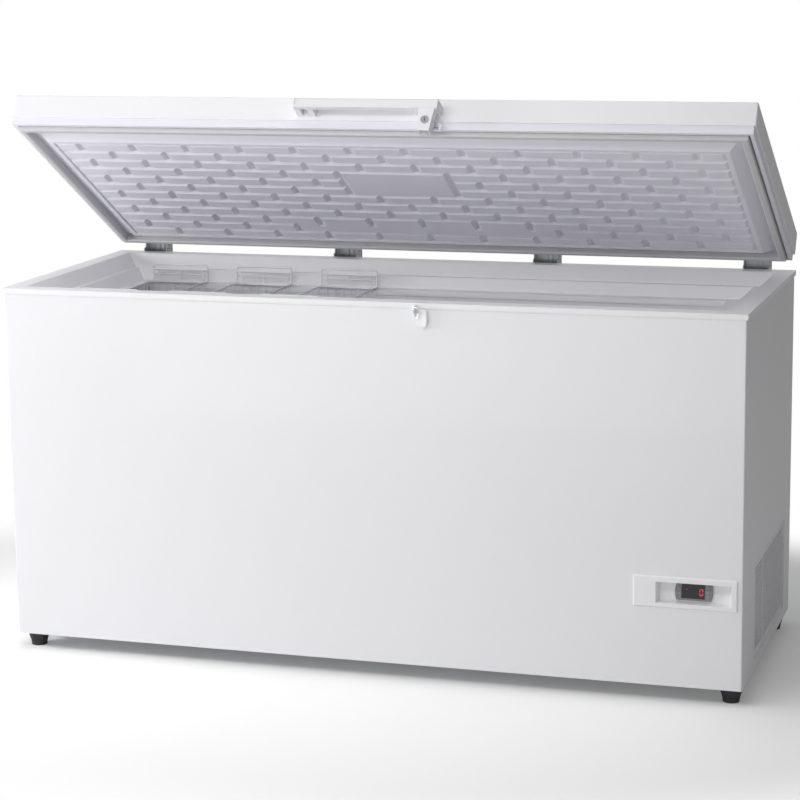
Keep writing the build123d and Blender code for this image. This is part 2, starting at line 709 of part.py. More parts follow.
def rear_vent_span(inset):
    """Limits of the rear vent cover, drawn in by an inset: x0, x1, z0, z1."""
    x0, x1 = BULKHEAD_X + VENT_FRAME + inset, STEEL_X - 2 * VENT_FRAME - inset
    return x0, x1, BASE_TOP + VENT_FRAME + inset, BULKHEAD_Z - 4 * VENT_FRAME - inset


def rear_vent_cover():
    """Screwed-on steel cover over the back of the machine compartment, with two rows of louvres."""
    x0, x1, z0, z1 = rear_vent_span(0)
    cover = cuboid(x0, x1, STEEL_BACK, STEEL_BACK + SHEET, z0, z1)
    length, height = REAR_SLOT
    rows = int((z1 - z0 - 2 * VENT_FRAME) // REAR_SLOT_PITCH)
    start = (z0 + z1 - (rows - 1) * REAR_SLOT_PITCH) / 2
    for side in (-1, 1):
        x = (x0 + x1) / 2 + side * length * 0.6
        for row in range(rows):
            z = start + row * REAR_SLOT_PITCH
            cover -= cuboid(x - length / 2, x + length / 2, STEEL_BACK - 1, STEEL_BACK + 2, z, z + height)
            hood = [(STEEL_BACK + SHEET, z + height), (STEEL_BACK + SHEET + height, z + height / 3)]
            hood += [(STEEL_BACK + SHEET + height, z + height / 3 + SHEET), (STEEL_BACK + SHEET, z + height + SHEET)]
            cover += prism_x(hood, x - length / 2, x + length / 2)
    return cover


def gland_point():
    x0, x1, z0, z1 = rear_vent_span(0)
    return Vector(x0 + 4 * GLAND_RADIUS, STEEL_BACK, z1 + 2 * GLAND_RADIUS)


def mains_gland():
    """Closed cable gland on the back: body through the panel, hexagon and domed nut."""
    p = gland_point()
    y = STEEL_BACK
    neck = rod((p.X, y - 10, p.Z), (p.X, y, p.Z), GLAND_RADIUS * 0.6)
    hexagon = sided_rod((p.X, y, p.Z), (p.X, y + GLAND_REACH * 0.3, p.Z), GLAND_RADIUS, 6)
    plane = Plane(origin=(p.X, y, p.Z), x_dir=(1, 0, 0), z_dir=(0, 1, 0))
    dome = plane * Pos(0, 0, GLAND_REACH * 0.65) * Cone(GLAND_RADIUS * 0.85, GLAND_RADIUS * 0.5, GLAND_REACH * 0.7)
    return fuse([neck, hexagon, dome])


def compressor():
    """Hermetic shell with its welded seam, feet plate and terminal box."""
    r, h, lip = SHELL_RADIUS, SHELL_HEIGHT, SHELL_SEAM
    bottom = BASE_TOP + GROMMET_HEIGHT
    seam = h * 0.55
    with BuildSketch(Plane.XZ) as half:
        with BuildLine():
            Polyline((0, lip), (r * 0.7, lip), (r, h * 0.2), (r, seam), (r + lip, seam), (r + lip, seam + lip))
            Polyline((r + lip, seam + lip), (r, seam + lip), (r, h * 0.74), (r * 0.78, h * 0.93), (r * 0.4, h))
            Polyline((r * 0.4, h), (0, h), (0, lip))
        make_face()
    shell = Pos(SHELL_X, SHELL_Y, bottom) * revolve(half.sketch, Axis.Z)
    reach = GROMMET_SPACING + GROMMET_RADIUS
    top = bottom + SHELL_FEET
    feet = cuboid(SHELL_X - reach, SHELL_X + reach, SHELL_Y - reach, SHELL_Y + reach, bottom, top)
    feet -= [rod((x, y, bottom - 1), (x, y, top + 1), STUD_RADIUS + PIN_SEAT) for x, y in mount_places()]
    width = r / 3
    terminal = cuboid(SHELL_X - width, SHELL_X + width, SHELL_Y - r * 1.25, SHELL_Y - r * 0.7, bottom + h / 3,
                      bottom + h * 0.7)
    return fuse([shell, feet, terminal])


def mount_places():
    step = GROMMET_SPACING
    return [(SHELL_X + i * step, SHELL_Y + j * step) for i in (-1, 1) for j in (-1, 1)]


def compressor_mounts():
    """Rubber grommets under the compressor's feet plate."""
    mounts = []
    for x, y in mount_places():
        grommet = sided_rod((x, y, BASE_TOP), (x, y, BASE_TOP + GROMMET_HEIGHT), GROMMET_RADIUS)
        mounts.append(grommet - rod((x, y, 0), (x, y, RIM_TOP), STUD_RADIUS + PIN_SEAT))
    return mounts


def compressor_bolts():
    """Studs up through the grommets and the feet plate, each with its hexagon nut."""
    bolts = []
    top = BASE_TOP + GROMMET_HEIGHT + SHELL_FEET
    for x, y in mount_places():
        shank = rod((x, y, BASE_TOP), (x, y, top + STUD_RADIUS), STUD_RADIUS)
        nut = sided_rod((x, y, top), (x, y, top + STUD_RADIUS * 0.8), STUD_RADIUS * 1.9, 6)
        bolts.append(shank + nut)
    return bolts


def condenser_span():
    return CONDENSER_START, CONDENSER_END, BASE_TOP, BASE_TOP + CONDENSER_HEIGHT


def condenser_tubes():
    """Places of the level tubes through the fins, as (x, z)."""
    rows = [BASE_TOP + CONDENSER_HEIGHT * (row + 0.5) / CONDENSER_ROWS for row in range(CONDENSER_ROWS)]
    columns = [CONDENSER_X + CONDENSER_THICK * share for share in (0.3, 0.7)]
    return [(x, z) for x in columns for z in rows]


def condenser():
    """Finned block behind the side grille: upright fins on level tube runs between two end plates."""
    y0, y1, z0, z1 = condenser_span()
    x0, x1 = CONDENSER_X, CONDENSER_X + CONDENSER_THICK
    count = int((y1 - y0) // FIN_PITCH)
    places = [y0 + n * (y1 - y0 - FIN_THICK) / count for n in range(count + 1)]
    plates = [cuboid(x0, x1, y, y + FIN_THICK, z0, z1) for y in places]
    end = CONDENSER_TUBE_END
    tubes = [bar((x, y0 - end, z), (x, y1 + end, z), 2 * LINE_RADIUS) for x, z in condenser_tubes()]
    return fuse(plates + tubes)


def fan_centre():
    y0, y1, z0, z1 = condenser_span()
    return (y0 + y1) / 2, (z0 + z1) / 2


def fan_shroud():
    """Boxed plate on the condenser's inner side with a round mouth and the motor's spider."""
    y0, y1, z0, z1 = condenser_span()
    fy, fz = fan_centre()
    x1, x0 = CONDENSER_X, CONDENSER_X - SHROUD_DEEP
    shroud = cuboid(x0, x1, y0, y1, z0, z1) - cuboid(x0 + 2, x1 + 1, y0 + 2, y1 - 2, z0 + 2, z1 - 2)
    shroud -= rod((x0 - 1, fy, fz), (x0 + 3, fy, fz), FAN_RADIUS + 4)
    arm = 3
    reach = FAN_RADIUS + 12
    spider = cuboid(x0 - arm, x0, fy - reach, fy + reach, fz - 6, fz + 6)
    spider += cuboid(x0 - arm, x0, fy - 6, fy + 6, fz - reach, fz + reach)
    spider += rod((x0 - arm, fy, fz), (x0, fy, fz), MOTOR_RADIUS)
    spider -= rod((x0 - arm - 1, fy, fz), (x0 + 1, fy, fz), STUD_RADIUS)
    return fuse([shroud, spider])


def fan_motor():
    """Motor on the spider, with its shaft through to the fan's hub."""
    fy, fz = fan_centre()
    back = CONDENSER_X - SHROUD_DEEP - 3
    can = rod((back - MOTOR_LENGTH, fy, fz), (back, fy, fz), MOTOR_RADIUS)
    shaft = rod((back, fy, fz), (back + 3 + FAN_DEEP, fy, fz), PIN_RADIUS)
    return can + shaft


def fan_blade():
    """Hub with pitched blades, running on the motor's shaft inside the shroud."""
    fy, fz = fan_centre()
    x0 = CONDENSER_X - SHROUD_DEEP + 4
    hub = rod((x0, fy, fz), (x0 + FAN_DEEP, fy, fz), FAN_HUB)
    blades = [hub]
    for n in range(FAN_BLADES):
        span = FAN_RADIUS - FAN_HUB + 3
        blade = Box(2, span, FAN_DEEP * 1.1)
        blade = Pos(0, FAN_HUB - 3 + span / 2, 0) * Rot(0, 55, 0) * blade
        turned = Rot(360 * n / FAN_BLADES, 0, 0) * blade
        blades.append(Pos(x0 + FAN_DEEP / 2, fy, fz) * turned)
    fan = fuse(blades)
    return fan - rod((x0 - 1, fy, fz), (x0 + FAN_DEEP + 1, fy, fz), PIN_RADIUS + PIN_RUNNING)


def pipe(points, bend):
    """Tube along straight runs with equal bends."""
    path = FilletPolyline(*points, radius=bend)
    section = Plane(origin=path @ 0, z_dir=path % 0) * RegularPolygon(LINE_RADIUS, HIDDEN_SIDES)
    return sweep(section, path=path.wire()).solid()


def refrigerant_lines():
    """Suction line up into the foam's bulkhead and discharge line to the condenser."""
    edge = SHELL_RADIUS + SEAT_CLEARANCE
    level = BASE_TOP + GROMMET_HEIGHT + SHELL_HEIGHT * 0.4
    back, away = SHELL_Y + edge, 1.5 * LINE_BEND
    suction = [(SHELL_X, back, level), (SHELL_X, back + away, level), (SHELL_X, back + away, BULKHEAD_Z)]
    tube_x, tube_z = condenser_tubes()[1]
    end_y = CONDENSER_END + CONDENSER_TUBE_END
    discharge = [(SHELL_X + edge, SHELL_Y, tube_z), (tube_x, SHELL_Y, tube_z), (tube_x, end_y, tube_z)]
    return [pipe(suction, LINE_BEND), pipe(discharge, LINE_BEND)]


def filter_drier():
    """Copper filter drier upright against the bulkhead."""
    x, y, z = BULKHEAD_X + DRIER_RADIUS, SHELL_Y - DRIER_FORWARD, BASE_TOP + DRIER_RISE
    r, h, neck = DRIER_RADIUS, DRIER_LENGTH, DRIER_NECK
    body = sided_rod((x, y, z + 2 * r), (x, y, z + h - 2 * r), r)
    pieces = [body, sided_rod((x, y, z), (x, y, z + h), neck)]
    for low, high, wide, narrow in ((z + r, z + 2 * r, neck, r), (z + h - 2 * r, z + h - r, r, neck)):
        faces = [Pos(x, y, level) * RegularPolygon(radius, HIDDEN_SIDES) for level, radius in ((low, wide), (high, narrow))]
        pieces.append(loft(faces))
    return fuse([piece.solid() for piece in pieces])


def lid_outer_shell():
    """Folded steel top with four skirts and a hem turned in at the bottom."""
    half = LID_LENGTH / 2
    shell = cuboid(-half, half, LID_FRONT, LID_BACK, LID_BOTTOM, LID_TOP)
    edges = shell.edges().filter_by(Axis.Z) + shell.faces().sort_by(Axis.Z)[-1].edges()
    shell = fillet(edges, LID_EDGE)
    t = SHEET
    shell -= cuboid(-half + t, half - t, LID_FRONT + t, LID_BACK - t, LID_BOTTOM + t, LID_TOP - t)
    hem = LID_HEM
    shell -= cuboid(-half + hem, half - hem, LID_FRONT + hem, LID_BACK - hem, LID_BOTTOM - 1, LID_BOTTOM + 2 * t)
    return shell


def plug_span(inset):
    """Plan limits of the plug on the lid's underside, drawn in by an inset."""
    half = LID_LENGTH / 2 - PLUG_INSET_SIDE - inset
    return -half, half, LID_FRONT + PLUG_INSET_FRONT + inset, LID_BACK - PLUG_INSET_BACK - inset


def lip_outline(thick):
    """Section of the panel's outer lip, or of the foam inside it, as (inset, z)."""
    outer, inner = LIP_INSET + thick, LIP_INSET + LIP_WIDTH - thick
    low = LID_BOTTOM - LIP_DROP + thick
    return [(outer, LID_BOTTOM), (outer, low), (inner, low), (inner, LID_BOTTOM)]


def brick_field():
    """Plan limits of the brick field inside the plug's border."""
    x0, x1, y0, y1 = plug_span(PLUG_SLOPE)
    border = BRICK_BORDER
    return x0 + border, x1 - border, y0 + border, y1 - border


def joints_between(row):
    """Positions of the upright joints in one row, in brick pitches from the middle."""
    half = brick_field()[1] / BRICK_PITCH_X
    shift = 0.5 if row % 2 == 0 else 0.0
    steps = [n + shift for n in range(-8, 9) if abs(n + shift) < half - 0.2]
    if row in FIELD_ROWS:
        steps = [s for s in steps if abs(s) > FIELD_PITCHES] + [-FIELD_PITCHES, FIELD_PITCHES]
    if row == STRIP_ROW:
        steps = [s for s in steps if abs(s) >= STRIP_PITCHES]
    return sorted(s * BRICK_PITCH_X for s in steps)


def row_cells(row):
    """Bricks of one row as plan limits, the front row first."""
    x0, x1, y0, y1 = brick_field()
    pitch = (y1 - y0) / BRICK_ROWS
    low, high = y0 + row * pitch, y0 + (row + 1) * pitch
    joints = joints_between(row)
    gap = BRICK_END_GAP / 2
    starts = [x0] + [x + gap for x in joints]
    ends = [x - gap for x in joints] + [x1]
    cells = []
    for left, right in zip(starts, ends):
        inside = max(abs(left), abs(right)) <= FIELD_PITCHES * BRICK_PITCH_X
        if row in FIELD_ROWS and inside:
            if row == FIELD_ROWS[0]:
                cells.append((left, right, low + BRICK_GAP / 2, low + len(FIELD_ROWS) * pitch - BRICK_GAP / 2))
        else:
            cells.append((left, right, low + BRICK_GAP / 2, high - BRICK_GAP / 2))
    return cells


def brick(cell):
    """One raised brick, sloped on all sides, standing down from the panel."""
    x0, x1, y0, y1 = cell
    return frustum(x0, x1, y0, y1, FACE_Z + BRICK_RELIEF, BRICK_END_SLOPE, BRICK_SIDE_SLOPE, -BRICK_RELIEF)


def strip_bridge():
    """Plain strip that closes the groove between the strip's row and the row in front of it."""
    x0, x1, y0, y1 = brick_field()
    pitch = (y1 - y0) / BRICK_ROWS
    line = y0 + STRIP_ROW * pitch
    half = STRIP_PITCHES * BRICK_PITCH_X - BRICK_END_GAP / 2
    reach = BRICK_GAP / 2 + BRICK_SIDE_SLOPE + 1
    bridges = []
    joints = [-half] + [x for x in joints_between(STRIP_ROW - 1) if abs(x) < half] + [half]
    for left, right in zip(joints[:-1], joints[1:]):
        cell = (left, right, line - reach - BRICK_SIDE_SLOPE, line + reach + BRICK_SIDE_SLOPE)
        bridges.append(brick(cell))
    return bridges


def lid_inner_panel():
    """Moulded underside: outer lip, gasket gutter, plug and a running bond of raised bricks."""
    t = PANEL_THICK
    lip = frame_ring(lip_outline(0), LID_LENGTH, LID_DEPTH, LID_Y)
    lip -= frame_ring([(a, z + (1 if z == LID_BOTTOM else 0)) for a, z in lip_outline(t * 0.8)],
                      LID_LENGTH, LID_DEPTH, LID_Y)
    edge = LIP_INSET + LIP_WIDTH - 1
    half = LID_LENGTH / 2 - edge
    gutter = cuboid(-half, half, LID_FRONT + edge, LID_BACK - edge, GUTTER_Z, GUTTER_Z + t)
    floor_z = FACE_Z + BRICK_RELIEF
    drop = GUTTER_Z - FACE_Z
    plug = frustum(*plug_span(0), GUTTER_Z, PLUG_SLOPE, PLUG_SLOPE, -drop)
    run = BRICK_RELIEF * 0.5
    x0, x1, y0, y1 = brick_field()
    recess = frustum(x0, x1, y0, y1, FACE_Z - 1, run, run, BRICK_RELIEF + 1)
    hollow_run = PLUG_SLOPE * (floor_z + t - GUTTER_Z) / -drop
    hollow = frustum(*plug_span(t * 1.5), GUTTER_Z + t + 1, hollow_run, hollow_run, floor_z - GUTTER_Z - 1)
    panel = fuse([lip.solid(), gutter, plug]) - recess - hollow
    bricks = [brick(cell) for row in range(BRICK_ROWS) for cell in row_cells(row)]
    return panel.fuse(*bricks, *strip_bridge()).solids().sort_by(SortBy.VOLUME)[-1]


def lid_insulation():
    """Foam block in the lid, down into the lip and the plug."""
    t = SHEET
    half = LID_LENGTH / 2 - t
    foam = cuboid(-half, half, LID_FRONT + t, LID_BACK - t, LID_BOTTOM + t, LID_TOP - t)
    edge = LIP_INSET + LIP_WIDTH + LID_HEM - LIP_INSET - LIP_WIDTH
    half_in = LID_LENGTH / 2 - edge - LIP_WIDTH
    back = GUTTER_Z + PANEL_THICK
    foam += cuboid(-half_in, half_in, LID_FRONT + edge + LIP_WIDTH, LID_BACK - edge - LIP_WIDTH,
                   back, LID_BOTTOM + 2 * t)
    floor_z = FACE_Z + BRICK_RELIEF + PANEL_THICK
    drop = GUTTER_Z - FACE_Z
    inset = PANEL_THICK * 1.5 + SEAT_CLEARANCE
    run = PLUG_SLOPE * (floor_z - GUTTER_Z) / -drop
    foam += frustum(*plug_span(inset), back + 1, run, run, floor_z + SEAT_CLEARANCE - back - 1)
    return foam


def lid_gasket():
    """Soft seal: flange in the gutter and a bulb that meets the rim when the lid is down."""
    a0, a1 = GASKET_INSET, GASKET_INSET + GASKET_WIDTH
    top, low = GUTTER_Z, RIM_TOP + SEAT_CLEARANCE
    f = GASKET_FLANGE
    outline = [(a0, top), (a0, top - f), (a0 + f, top - f), (a0 + f, low + f), (a0 + 2 * f, low)]
    outline += [(a1 - 2 * f, low), (a1 - f, low + f), (a1 - f, top - f), (a1, top - f), (a1, top)]
    return frame_ring(outline, LID_LENGTH, LID_DEPTH, LID_Y)


def flange_outline():
    """Side view of one hinge flange, relative to the pin: (y, z)."""
    web = HINGE_WEB_BACK
    lid_low = LID_BOTTOM - HINGE_Z
    lip_low = lid_low - LIP_DROP - 1.5
    lip_front = -(LEAF_BACK + LIP_INSET) + 1.2
    seat = -(HINGE_BEHIND - SEAT_CLEARANCE)
    under_rim = RIM_TOP - RIM_SKIRT - SEAT_CLEARANCE - HINGE_Z
    panel = STEEL_BACK - HINGE_Y
    near = -LEAF_BACK + 1.5
    points = [(web, -HINGE_DROP), (web, 3), (-EYE_RADIUS * 0.75, EYE_RADIUS), (near, 0), (near, lid_low)]
    points += [(lip_front, lip_low), (seat, lip_low - 1), (seat, under_rim), (panel, under_rim), (panel, -HINGE_DROP)]
    return points


def hinge_base(x):
    """Steel channel behind the rim: web with a pressed rib, two flanges, two ears on the rear panel."""
    t = HINGE_SHEET
    web_y = HINGE_Y + HINGE_WEB_BACK
    low = HINGE_Z - HINGE_DROP
    pieces = [cuboid(x - HINGE_HALF, x + HINGE_HALF, web_y - t, web_y, low, HINGE_Z + 3)]
    outline = [(HINGE_Y + y, HINGE_Z + z) for y, z in flange_outline()]
    for side in (-1, 1):
        edge = x + side * HINGE_HALF
        inner = edge - side * t
        pieces.append(prism_x(outline, min(edge, inner), max(edge, inner)))
        ear = edge + side * EAR_WIDTH
        under = RIM_TOP - RIM_SKIRT - SEAT_CLEARANCE
        pieces.append(cuboid(min(inner, ear), max(inner, ear), STEEL_BACK, STEEL_BACK + t, low, under))
    for shift in (-HINGE_RIB, HINGE_RIB * 2):
        middle = x + shift
        pieces.append(cuboid(middle - 2, middle + 2, web_y - t - HINGE_RIB, web_y - t, low + 10, HINGE_Z - EYE_RADIUS - 4))
    base = fuse(pieces)
    reach = HINGE_HALF + 1
    return base - rod((x - reach, HINGE_Y, HINGE_Z), (x + reach, HINGE_Y, HINGE_Z), PIN_RADIUS + PIN_SEAT)


def hinge_leaf(x):
    """Upper hinge half: plate on the lid's rear face with two eyes round the pin."""
    t = HINGE_SHEET
    half = HINGE_HALF - t - LEAF_CLEARANCE
    plate = cuboid(x - half, x + half, LID_BACK, LID_BACK + t, HINGE_Z - LEAF_HALF, HINGE_Z + LEAF_HALF)
    pieces = [plate]
    for side in (-1, 1):
        outer = x + side * half
        inner = outer - side * t
        low, high = min(outer, inner), max(outer, inner)
        pieces.append(cuboid(low, high, LID_BACK + t / 2, HINGE_Y, HINGE_Z - EYE_RADIUS, HINGE_Z + EYE_RADIUS))
        pieces.append(rod((low, HINGE_Y, HINGE_Z), (high, HINGE_Y, HINGE_Z), EYE_RADIUS))
    reach = half + 1
    return fuse(pieces) - rod((x - reach, HINGE_Y, HINGE_Z), (x + reach, HINGE_Y, HINGE_Z), PIN_RADIUS + PIN_RUNNING)


def hinge_pin(x):
    reach = HINGE_HALF
    pin = rod((x - reach - PIN_HEAD, HINGE_Y, HINGE_Z), (x + reach + PIN_HEAD, HINGE_Y, HINGE_Z), PIN_RADIUS)
    for side in (-1, 1):
        start = x + side * reach
        pin += sided_rod((start, HINGE_Y, HINGE_Z), (start + side * PIN_HEAD, HINGE_Y, HINGE_Z), PIN_HEAD_RADIUS)
    return pin


def hinge_spring(x):
    """Close-wound torsion spring around the pin between the eyes, as one sleeve."""
    half = HINGE_HALF - 2 * HINGE_SHEET - LEAF_CLEARANCE - 1
    sleeve = sided_rod((x - half, HINGE_Y, HINGE_Z), (x + half, HINGE_Y, HINGE_Z), SPRING_OUTER)
    return sleeve - sided_rod((x - half - 1, HINGE_Y, HINGE_Z), (x + half + 1, HINGE_Y, HINGE_Z), SPRING_INNER)


def screw(start, direction):
    """Pan head lying on a surface at a point."""
    end = Vector(*start) + Vector(*direction) * SCREW_HEAD
    return sided_rod(start, (end.X, end.Y, end.Z), SCREW_RADIUS, 6)


def cabinet_screws():
    """Screw heads on the hinge ears, the rear vent cover and the catch."""
    heads = []
    ear_y = STEEL_BACK + HINGE_SHEET
    low, high = HINGE_Z - HINGE_DROP + 14, RIM_TOP - RIM_SKIRT - 14
    for x in HINGE_X:
        for side in (-1, 1):
            at = x + side * (HINGE_HALF + EAR_WIDTH / 2)
            heads += [screw((at, ear_y, z), (0, 1, 0)) for z in (low, high)]
    x0, x1, z0, z1 = rear_vent_span(VENT_FRAME / 2)
    heads += [screw((x, STEEL_BACK + SHEET, z), (0, 1, 0)) for x in (x0, x1) for z in (z0, z1)]
    return heads


def lid_screws():
    """Screw heads that hold the hinge leaves to the lid, level with the plate's ends."""
    heads = []
    y = LID_BACK + HINGE_SHEET
    for x in HINGE_X:
        for side in (-1, 1):
            heads += [screw((x + side * LEAF_HALF / 2, y, HINGE_Z + end * (LEAF_HALF - SCREW_RADIUS)), (0, 1, 0))
                      for end in (-1, 1)]
    return heads


def handle_y(proud):
    """Plane a distance ahead of the lid's front skirt."""
    return LID_FRONT - proud


def handle_bar():
    """Extruded grip with a beaded lower edge, between the left bracket and the lock block."""
    z0, z1 = LID_BOTTOM + HANDLE_LOW, LID_BOTTOM + HANDLE_HIGH
    front, back = handle_y(HANDLE_PROUD - 1), handle_y(HANDLE_PROUD - BAR_THICK)
    outline = [(back, z0), (front - 1, z0), (front - 1, z0 + BAR_BEAD), (front + 1, z0 + BAR_BEAD + 1)]
    outline += [(front + 1, z1 - 3), (front + 3, z1), (back, z1)]
    return prism_x(outline, HANDLE_LEFT + HINGE_SHEET, HANDLE_RIGHT - BLOCK_WIDTH)


def handle_bracket():
    """Moulded left bracket: end cap and two arms that carry the bar from the skirt."""
    z0, z1 = LID_BOTTOM + HANDLE_LOW, LID_BOTTOM + HANDLE_HIGH
    back = handle_y(HANDLE_PROUD - BAR_THICK)
    front = handle_y(HANDLE_PROUD)
    cap = [(LID_FRONT, z0 - 4), (back, z0 - 1), (front + 3, z0 - 1), (front, z0 + 3), (front, z1 - 2)]
    cap += [(front + 2, z1), (LID_FRONT, z1 + 2)]
    pieces = [prism_x(cap, HANDLE_LEFT, HANDLE_LEFT + HINGE_SHEET)]
    arm = [(LID_FRONT, z0 - 4), (back, z0 - 1), (back, z1), (LID_FRONT, z1 + 2)]
    arm_width = (BRACKET_WIDTH - BRACKET_SLOT) / 2
    pieces.append(prism_x(arm, HANDLE_LEFT, HANDLE_LEFT + arm_width))
    pieces.append(prism_x(arm, HANDLE_LEFT + BRACKET_WIDTH - arm_width, HANDLE_LEFT + BRACKET_WIDTH))
    foot = [(LID_FRONT, z0 - 4), (LID_FRONT - 4, z0 - 4), (LID_FRONT - 4, z1 + 1), (LID_FRONT, z1 + 2)]
    pieces.append(prism_x(foot, HANDLE_LEFT, HANDLE_LEFT + BRACKET_WIDTH))
    boss_x, boss_z = HANDLE_LEFT + BRACKET_WIDTH / 2, z0 + 2
    pieces.append(rod((boss_x, LID_FRONT - 9, boss_z), (boss_x, LID_FRONT, boss_z), 5))
    return fuse(pieces)


def lock_housing():
    """Right end block of the handle with the tapered lock nose hanging below it, hollow at the back."""
    z0, z1 = LID_BOTTOM + HANDLE_LOW, LID_BOTTOM + HANDLE_HIGH
    x1, x0 = HANDLE_RIGHT, HANDLE_RIGHT - BLOCK_WIDTH
    front = handle_y(HANDLE_PROUD)
    block = [(LID_FRONT, z0), (front + 2, z0), (front, z0 + 2), (front, z1 - 3), (front + 3, z1), (LID_FRONT, z1)]
    piece = prism_x(block, x0, x1)
    piece -= cuboid(x0 + LOCK_WALL, x1 - LOCK_WALL, handle_y(LOCK_BACK), LID_FRONT + 1, z0 - 1, z1 - LOCK_WALL)
    y0, y1 = handle_y(HANDLE_PROUD - 1), handle_y(LOCK_BACK)
    foot = LID_BOTTOM - LOCK_FOOT
    top_half, foot_half = LOCK_TOP_HALF, LOCK_FOOT_HALF
    outline = [(LOCK_X - top_half, z0 + 1), (LOCK_X - foot_half, foot), (LOCK_X + foot_half, foot)]
    outline += [(LOCK_X + top_half, z0 + 1)]
    nose = prism_y(outline, y0, y1)
    w = LOCK_WALL
    inner = [(LOCK_X - top_half + w, z0 - 2), (LOCK_X - foot_half + w, foot - 1), (LOCK_X + foot_half - w, foot - 1)]
    inner += [(LOCK_X + top_half - w, z0 - 2)]
    nose -= prism_y(inner, y0 + w, y1 + 1)
    axis_z = LID_BOTTOM - LOCK_DROP
    boss = rod((LOCK_X, y0 + w / 2, axis_z), (LOCK_X, y1, axis_z), BARREL_RADIUS + 1.5)
    housing = fuse([piece, nose, boss])
    return housing - rod((LOCK_X, y0 - 1, axis_z), (LOCK_X, y1 + 1, axis_z), BARREL_RADIUS + PIN_SEAT)


def lock_barrel():
    """Fixed chrome barrel of the lock with its front ring."""
    axis_z = LID_BOTTOM - LOCK_DROP
    front, back = handle_y(HANDLE_PROUD - 1 + BARREL_PROUD), handle_y(LOCK_BACK)
    barrel = rod((LOCK_X, front, axis_z), (LOCK_X, back, axis_z), BARREL_RADIUS)
    return barrel - rod((LOCK_X, front - 1, axis_z), (LOCK_X, back + 1, axis_z), CORE_RADIUS + CORE_RUNNING)


def lock_core():
    """Turning core with its keyway, reaching back to the cam."""
    axis_z = LID_BOTTOM - LOCK_DROP
    front, back = handle_y(HANDLE_PROUD - 1 + BARREL_PROUD - 0.4), handle_y(CAM_PROUD)
    core = rod((LOCK_X, front, axis_z), (LOCK_X, back, axis_z), CORE_RADIUS)
    width, height, deep = KEYWAY
    slot = Box(width, 2 * deep, height)
    return core - Pos(LOCK_X, front, axis_z) * slot


def lock_cam():
    """Hooked cam on the back of the core, pointing right until the key turns it down."""
    axis_z = LID_BOTTOM - LOCK_DROP
    plane = Plane(origin=(LOCK_X, handle_y(CAM_PROUD), axis_z), x_dir=(1, 0, 0), z_dir=(0, -1, 0))
    sweep_deg = CAM_NOSE_DEG
    with BuildSketch() as outline:
        Circle(CORE_RADIUS + 2)
        with Locations((CAM_OUTER / 2 - 1, 0)):
            Rectangle(CAM_OUTER - 1, 2 * CAM_HALF)
        with BuildLine():
            a0, a1 = 0.0, -radians(sweep_deg)
            ends = [(CAM_OUTER * cos(a), CAM_OUTER * sin(a)) for a in (a0, a1 / 2, a1)]
            inner = [(CAM_INNER * cos(a), CAM_INNER * sin(a)) for a in (a1, a1 / 2, a0)]
            ThreePointArc(*ends)
            Line(ends[2], inner[0])
            ThreePointArc(*inner)
            Line(inner[2], ends[0])
        make_face()
    return Pos(0, CAM_THICK, 0) * (plane * extrude(outline.sketch, CAM_THICK))


def catch_base():
    """Oval plastic pad on the front steel with a raised guard along its right and foot."""
    x, top = LOCK_X, RIM_TOP - RIM_SKIRT - 1
    low = RIM_TOP - CATCH_TOP - CATCH_LENGTH
    plane = Plane(origin=(x, STEEL_FRONT, (top + low) / 2), x_dir=(1, 0, 0), z_dir=(0, -1, 0))
    length = top - low
    pad = extrude(RectangleRounded(2 * CATCH_HALF, length, CATCH_HALF * 0.8), CATCH_BASE)
    wall = CATCH_RIB_WIDTH
    guard = extrude(RectangleRounded(2 * CATCH_HALF - 2, length - 2, CATCH_HALF * 0.7), CATCH_BASE + CATCH_RIB)
    inner = RectangleRounded(2 * CATCH_HALF - 2 - 2 * wall, length - 2 - 2 * wall, CATCH_HALF * 0.45)
    guard -= Pos(0, 0, CATCH_BASE) * extrude(inner, CATCH_RIB + 1)
    keep = Pos(CATCH_HALF, -length * 0.2, 0) * Box(2 * CATCH_HALF, length * 1.1, 60)
    return plane * (pad + (guard & keep)).solid()


def catch_keeper():
    """Steel keeper: bent plate on the pad with a lug that the cam's nose hooks under."""
    x = LOCK_X + KEEPER_X
    z = LID_BOTTOM - LOCK_DROP - KEEPER_DROP
    front = FRONT - CATCH_REACH
    pad = STEEL_FRONT - CATCH_BASE
    plate_x = x - KEEPER_RADIUS - KEEPER_PLATE
    outline = [(pad, z + 3), (front + 2, z + 3), (front, z + 1), (front, z - 3), (front + 6, z - 12), (pad, z - 24)]
    plate = prism_x(outline, plate_x, plate_x + KEEPER_PLATE)
    lug = rod((plate_x, front + 3.5, z), (x + KEEPER_RADIUS, front + 3.5, z), KEEPER_RADIUS)
    foot = cuboid(plate_x, x + KEEPER_RADIUS, pad - HINGE_SHEET, pad, z - 24, z - 12)
    return fuse([plate, lug, foot])


def basket_x(number):
    return -LINER_X + BASKET_FROM_END + number * BASKET_PITCH


